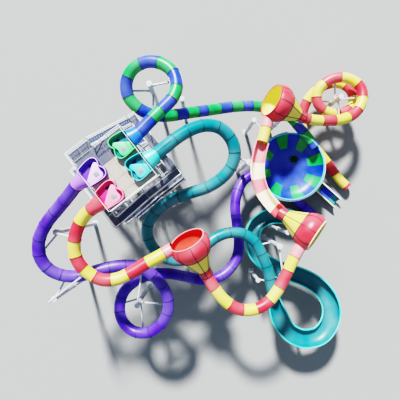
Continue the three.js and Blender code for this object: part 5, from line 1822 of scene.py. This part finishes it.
class SLIDE_OT_columns(bpy.types.Operator):
    """Builds the columns, posts and funnel columns with their arms and saddles"""

    bl_idname = "slide.columns"
    bl_label = "Columns and Posts"

    def execute(self, context):
        slides, sizes = context.scene.slide_sizes, context.scene.tower_sizes
        shapes = context.scene.funnel_sizes
        routes = {"purple": PURPLE, "turquoise": TURQUOISE, "wide": WIDE_FLUME, "blue": BLUE,
                  "bowl_chute": BOWL_CHUTE, "red_top": RED_TOP, "red_middle": RED_MIDDLE,
                  "red_flume": RED_FLUME, "coil": COIL}
        routes = {k: (Route(w), None) for k, w in routes.items()}
        wide = routes["wide"][0]
        routes["wide"] = (wide, lambda s: wide_bank(wide, s))
        for name, x, y, top, radius, arms in COLUMNS:
            o = column(x, y, top, radius, arms, routes, sizes, slides)
            dressed(named(o, name + "_steel"), "painted_steel", name)
        for name, key, x, y in POSTS:
            route = routes[key][0]
            highest = 2.6 if key == "coil" else 99  # the coil's lowest turn
            p = (route.at(route.near(x, y, 0, highest))[0] - SHIFT) / HALF
            top = p.z - (UNDER[key][1] / HALF if key in UNDER else 0.72) - 0.1
            arms = ((key, p.x, p.y, 0, p.z + 0.3),)
            o = column(p.x, p.y, top, POST_RADIUS, arms, routes, sizes, slides)
            dressed(named(o, name + "_steel"), "painted_steel", name)
        for (name, x, y), place in zip(FUNNEL_COLUMNS, FUNNEL_PLACES):
            axes = funnel_matrix(place[1], place[2], shapes)
            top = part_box(name)[1][2] / HALF - 0.06
            parts = pole(x, y, top, 0.26, sizes)
            s = (axes.inverted() @ Vector((*spot(x, y).xy, top * HALF))).x
            line = funnel_outline(shapes)
            r = next(a[1] + (b[1] - a[1]) * (s - a[0]) / (b[0] - a[0])
                     for a, b in zip(line, line[1:]) if a[0] <= s <= b[0])
            parts.append(funnel_cradle(axes, s, r, shapes))
            o = smooth(joined(name + "_steel", parts))
            dressed(o, "painted_steel", name)
        return {"FINISHED"}


OPERATORS = (
    SLIDE_OT_stage, SLIDE_OT_plain_slides, SLIDE_OT_bowl_slide, SLIDE_OT_funnel_slide, SLIDE_OT_bowl,
    SLIDE_OT_tubs, SLIDE_OT_deck, SLIDE_OT_stairs, SLIDE_OT_frames, SLIDE_OT_columns,
)
SETTINGS = (
    ("slide_sizes", SlideSizes), ("funnel_sizes", FunnelSizes), ("tower_sizes", TowerSizes),
    ("slide_colours", SlideColours),
)


class SLIDE_PT_tower(bpy.types.Panel):
    """Lists the steps that build the water slide tower"""

    bl_idname = "SLIDE_PT_tower"
    bl_label = "Slide Tower"
    bl_space_type = "VIEW_3D"
    bl_region_type = "UI"
    bl_category = "Slide Tower"

    def draw(self, context):
        for step in OPERATORS:
            self.layout.operator(step.bl_idname)
        for name, kind in SETTINGS:
            box = self.layout.box()
            for key in kind.__annotations__:
                box.prop(getattr(context.scene, name), key)


def register():
    for kind in [k for _, k in SETTINGS] + [*OPERATORS, SLIDE_PT_tower]:
        bpy.utils.register_class(kind)
    for name, kind in SETTINGS:
        setattr(bpy.types.Scene, name, PointerProperty(type=kind))


def unregister():
    for name, _ in SETTINGS:
        delattr(bpy.types.Scene, name)
    for kind in reversed([k for _, k in SETTINGS] + [*OPERATORS, SLIDE_PT_tower]):
        bpy.utils.unregister_class(kind)


def main():
    register()
    bpy.ops.slide.stage()
    bpy.ops.slide.plain_slides()
    bpy.ops.slide.bowl_slide()
    bpy.ops.slide.funnel_slide()
    bpy.ops.slide.bowl()
    bpy.ops.slide.tubs()
    bpy.ops.slide.deck()
    bpy.ops.slide.stairs()
    bpy.ops.slide.frames()
    bpy.ops.slide.columns()


if __name__ == "__main__":
    main()
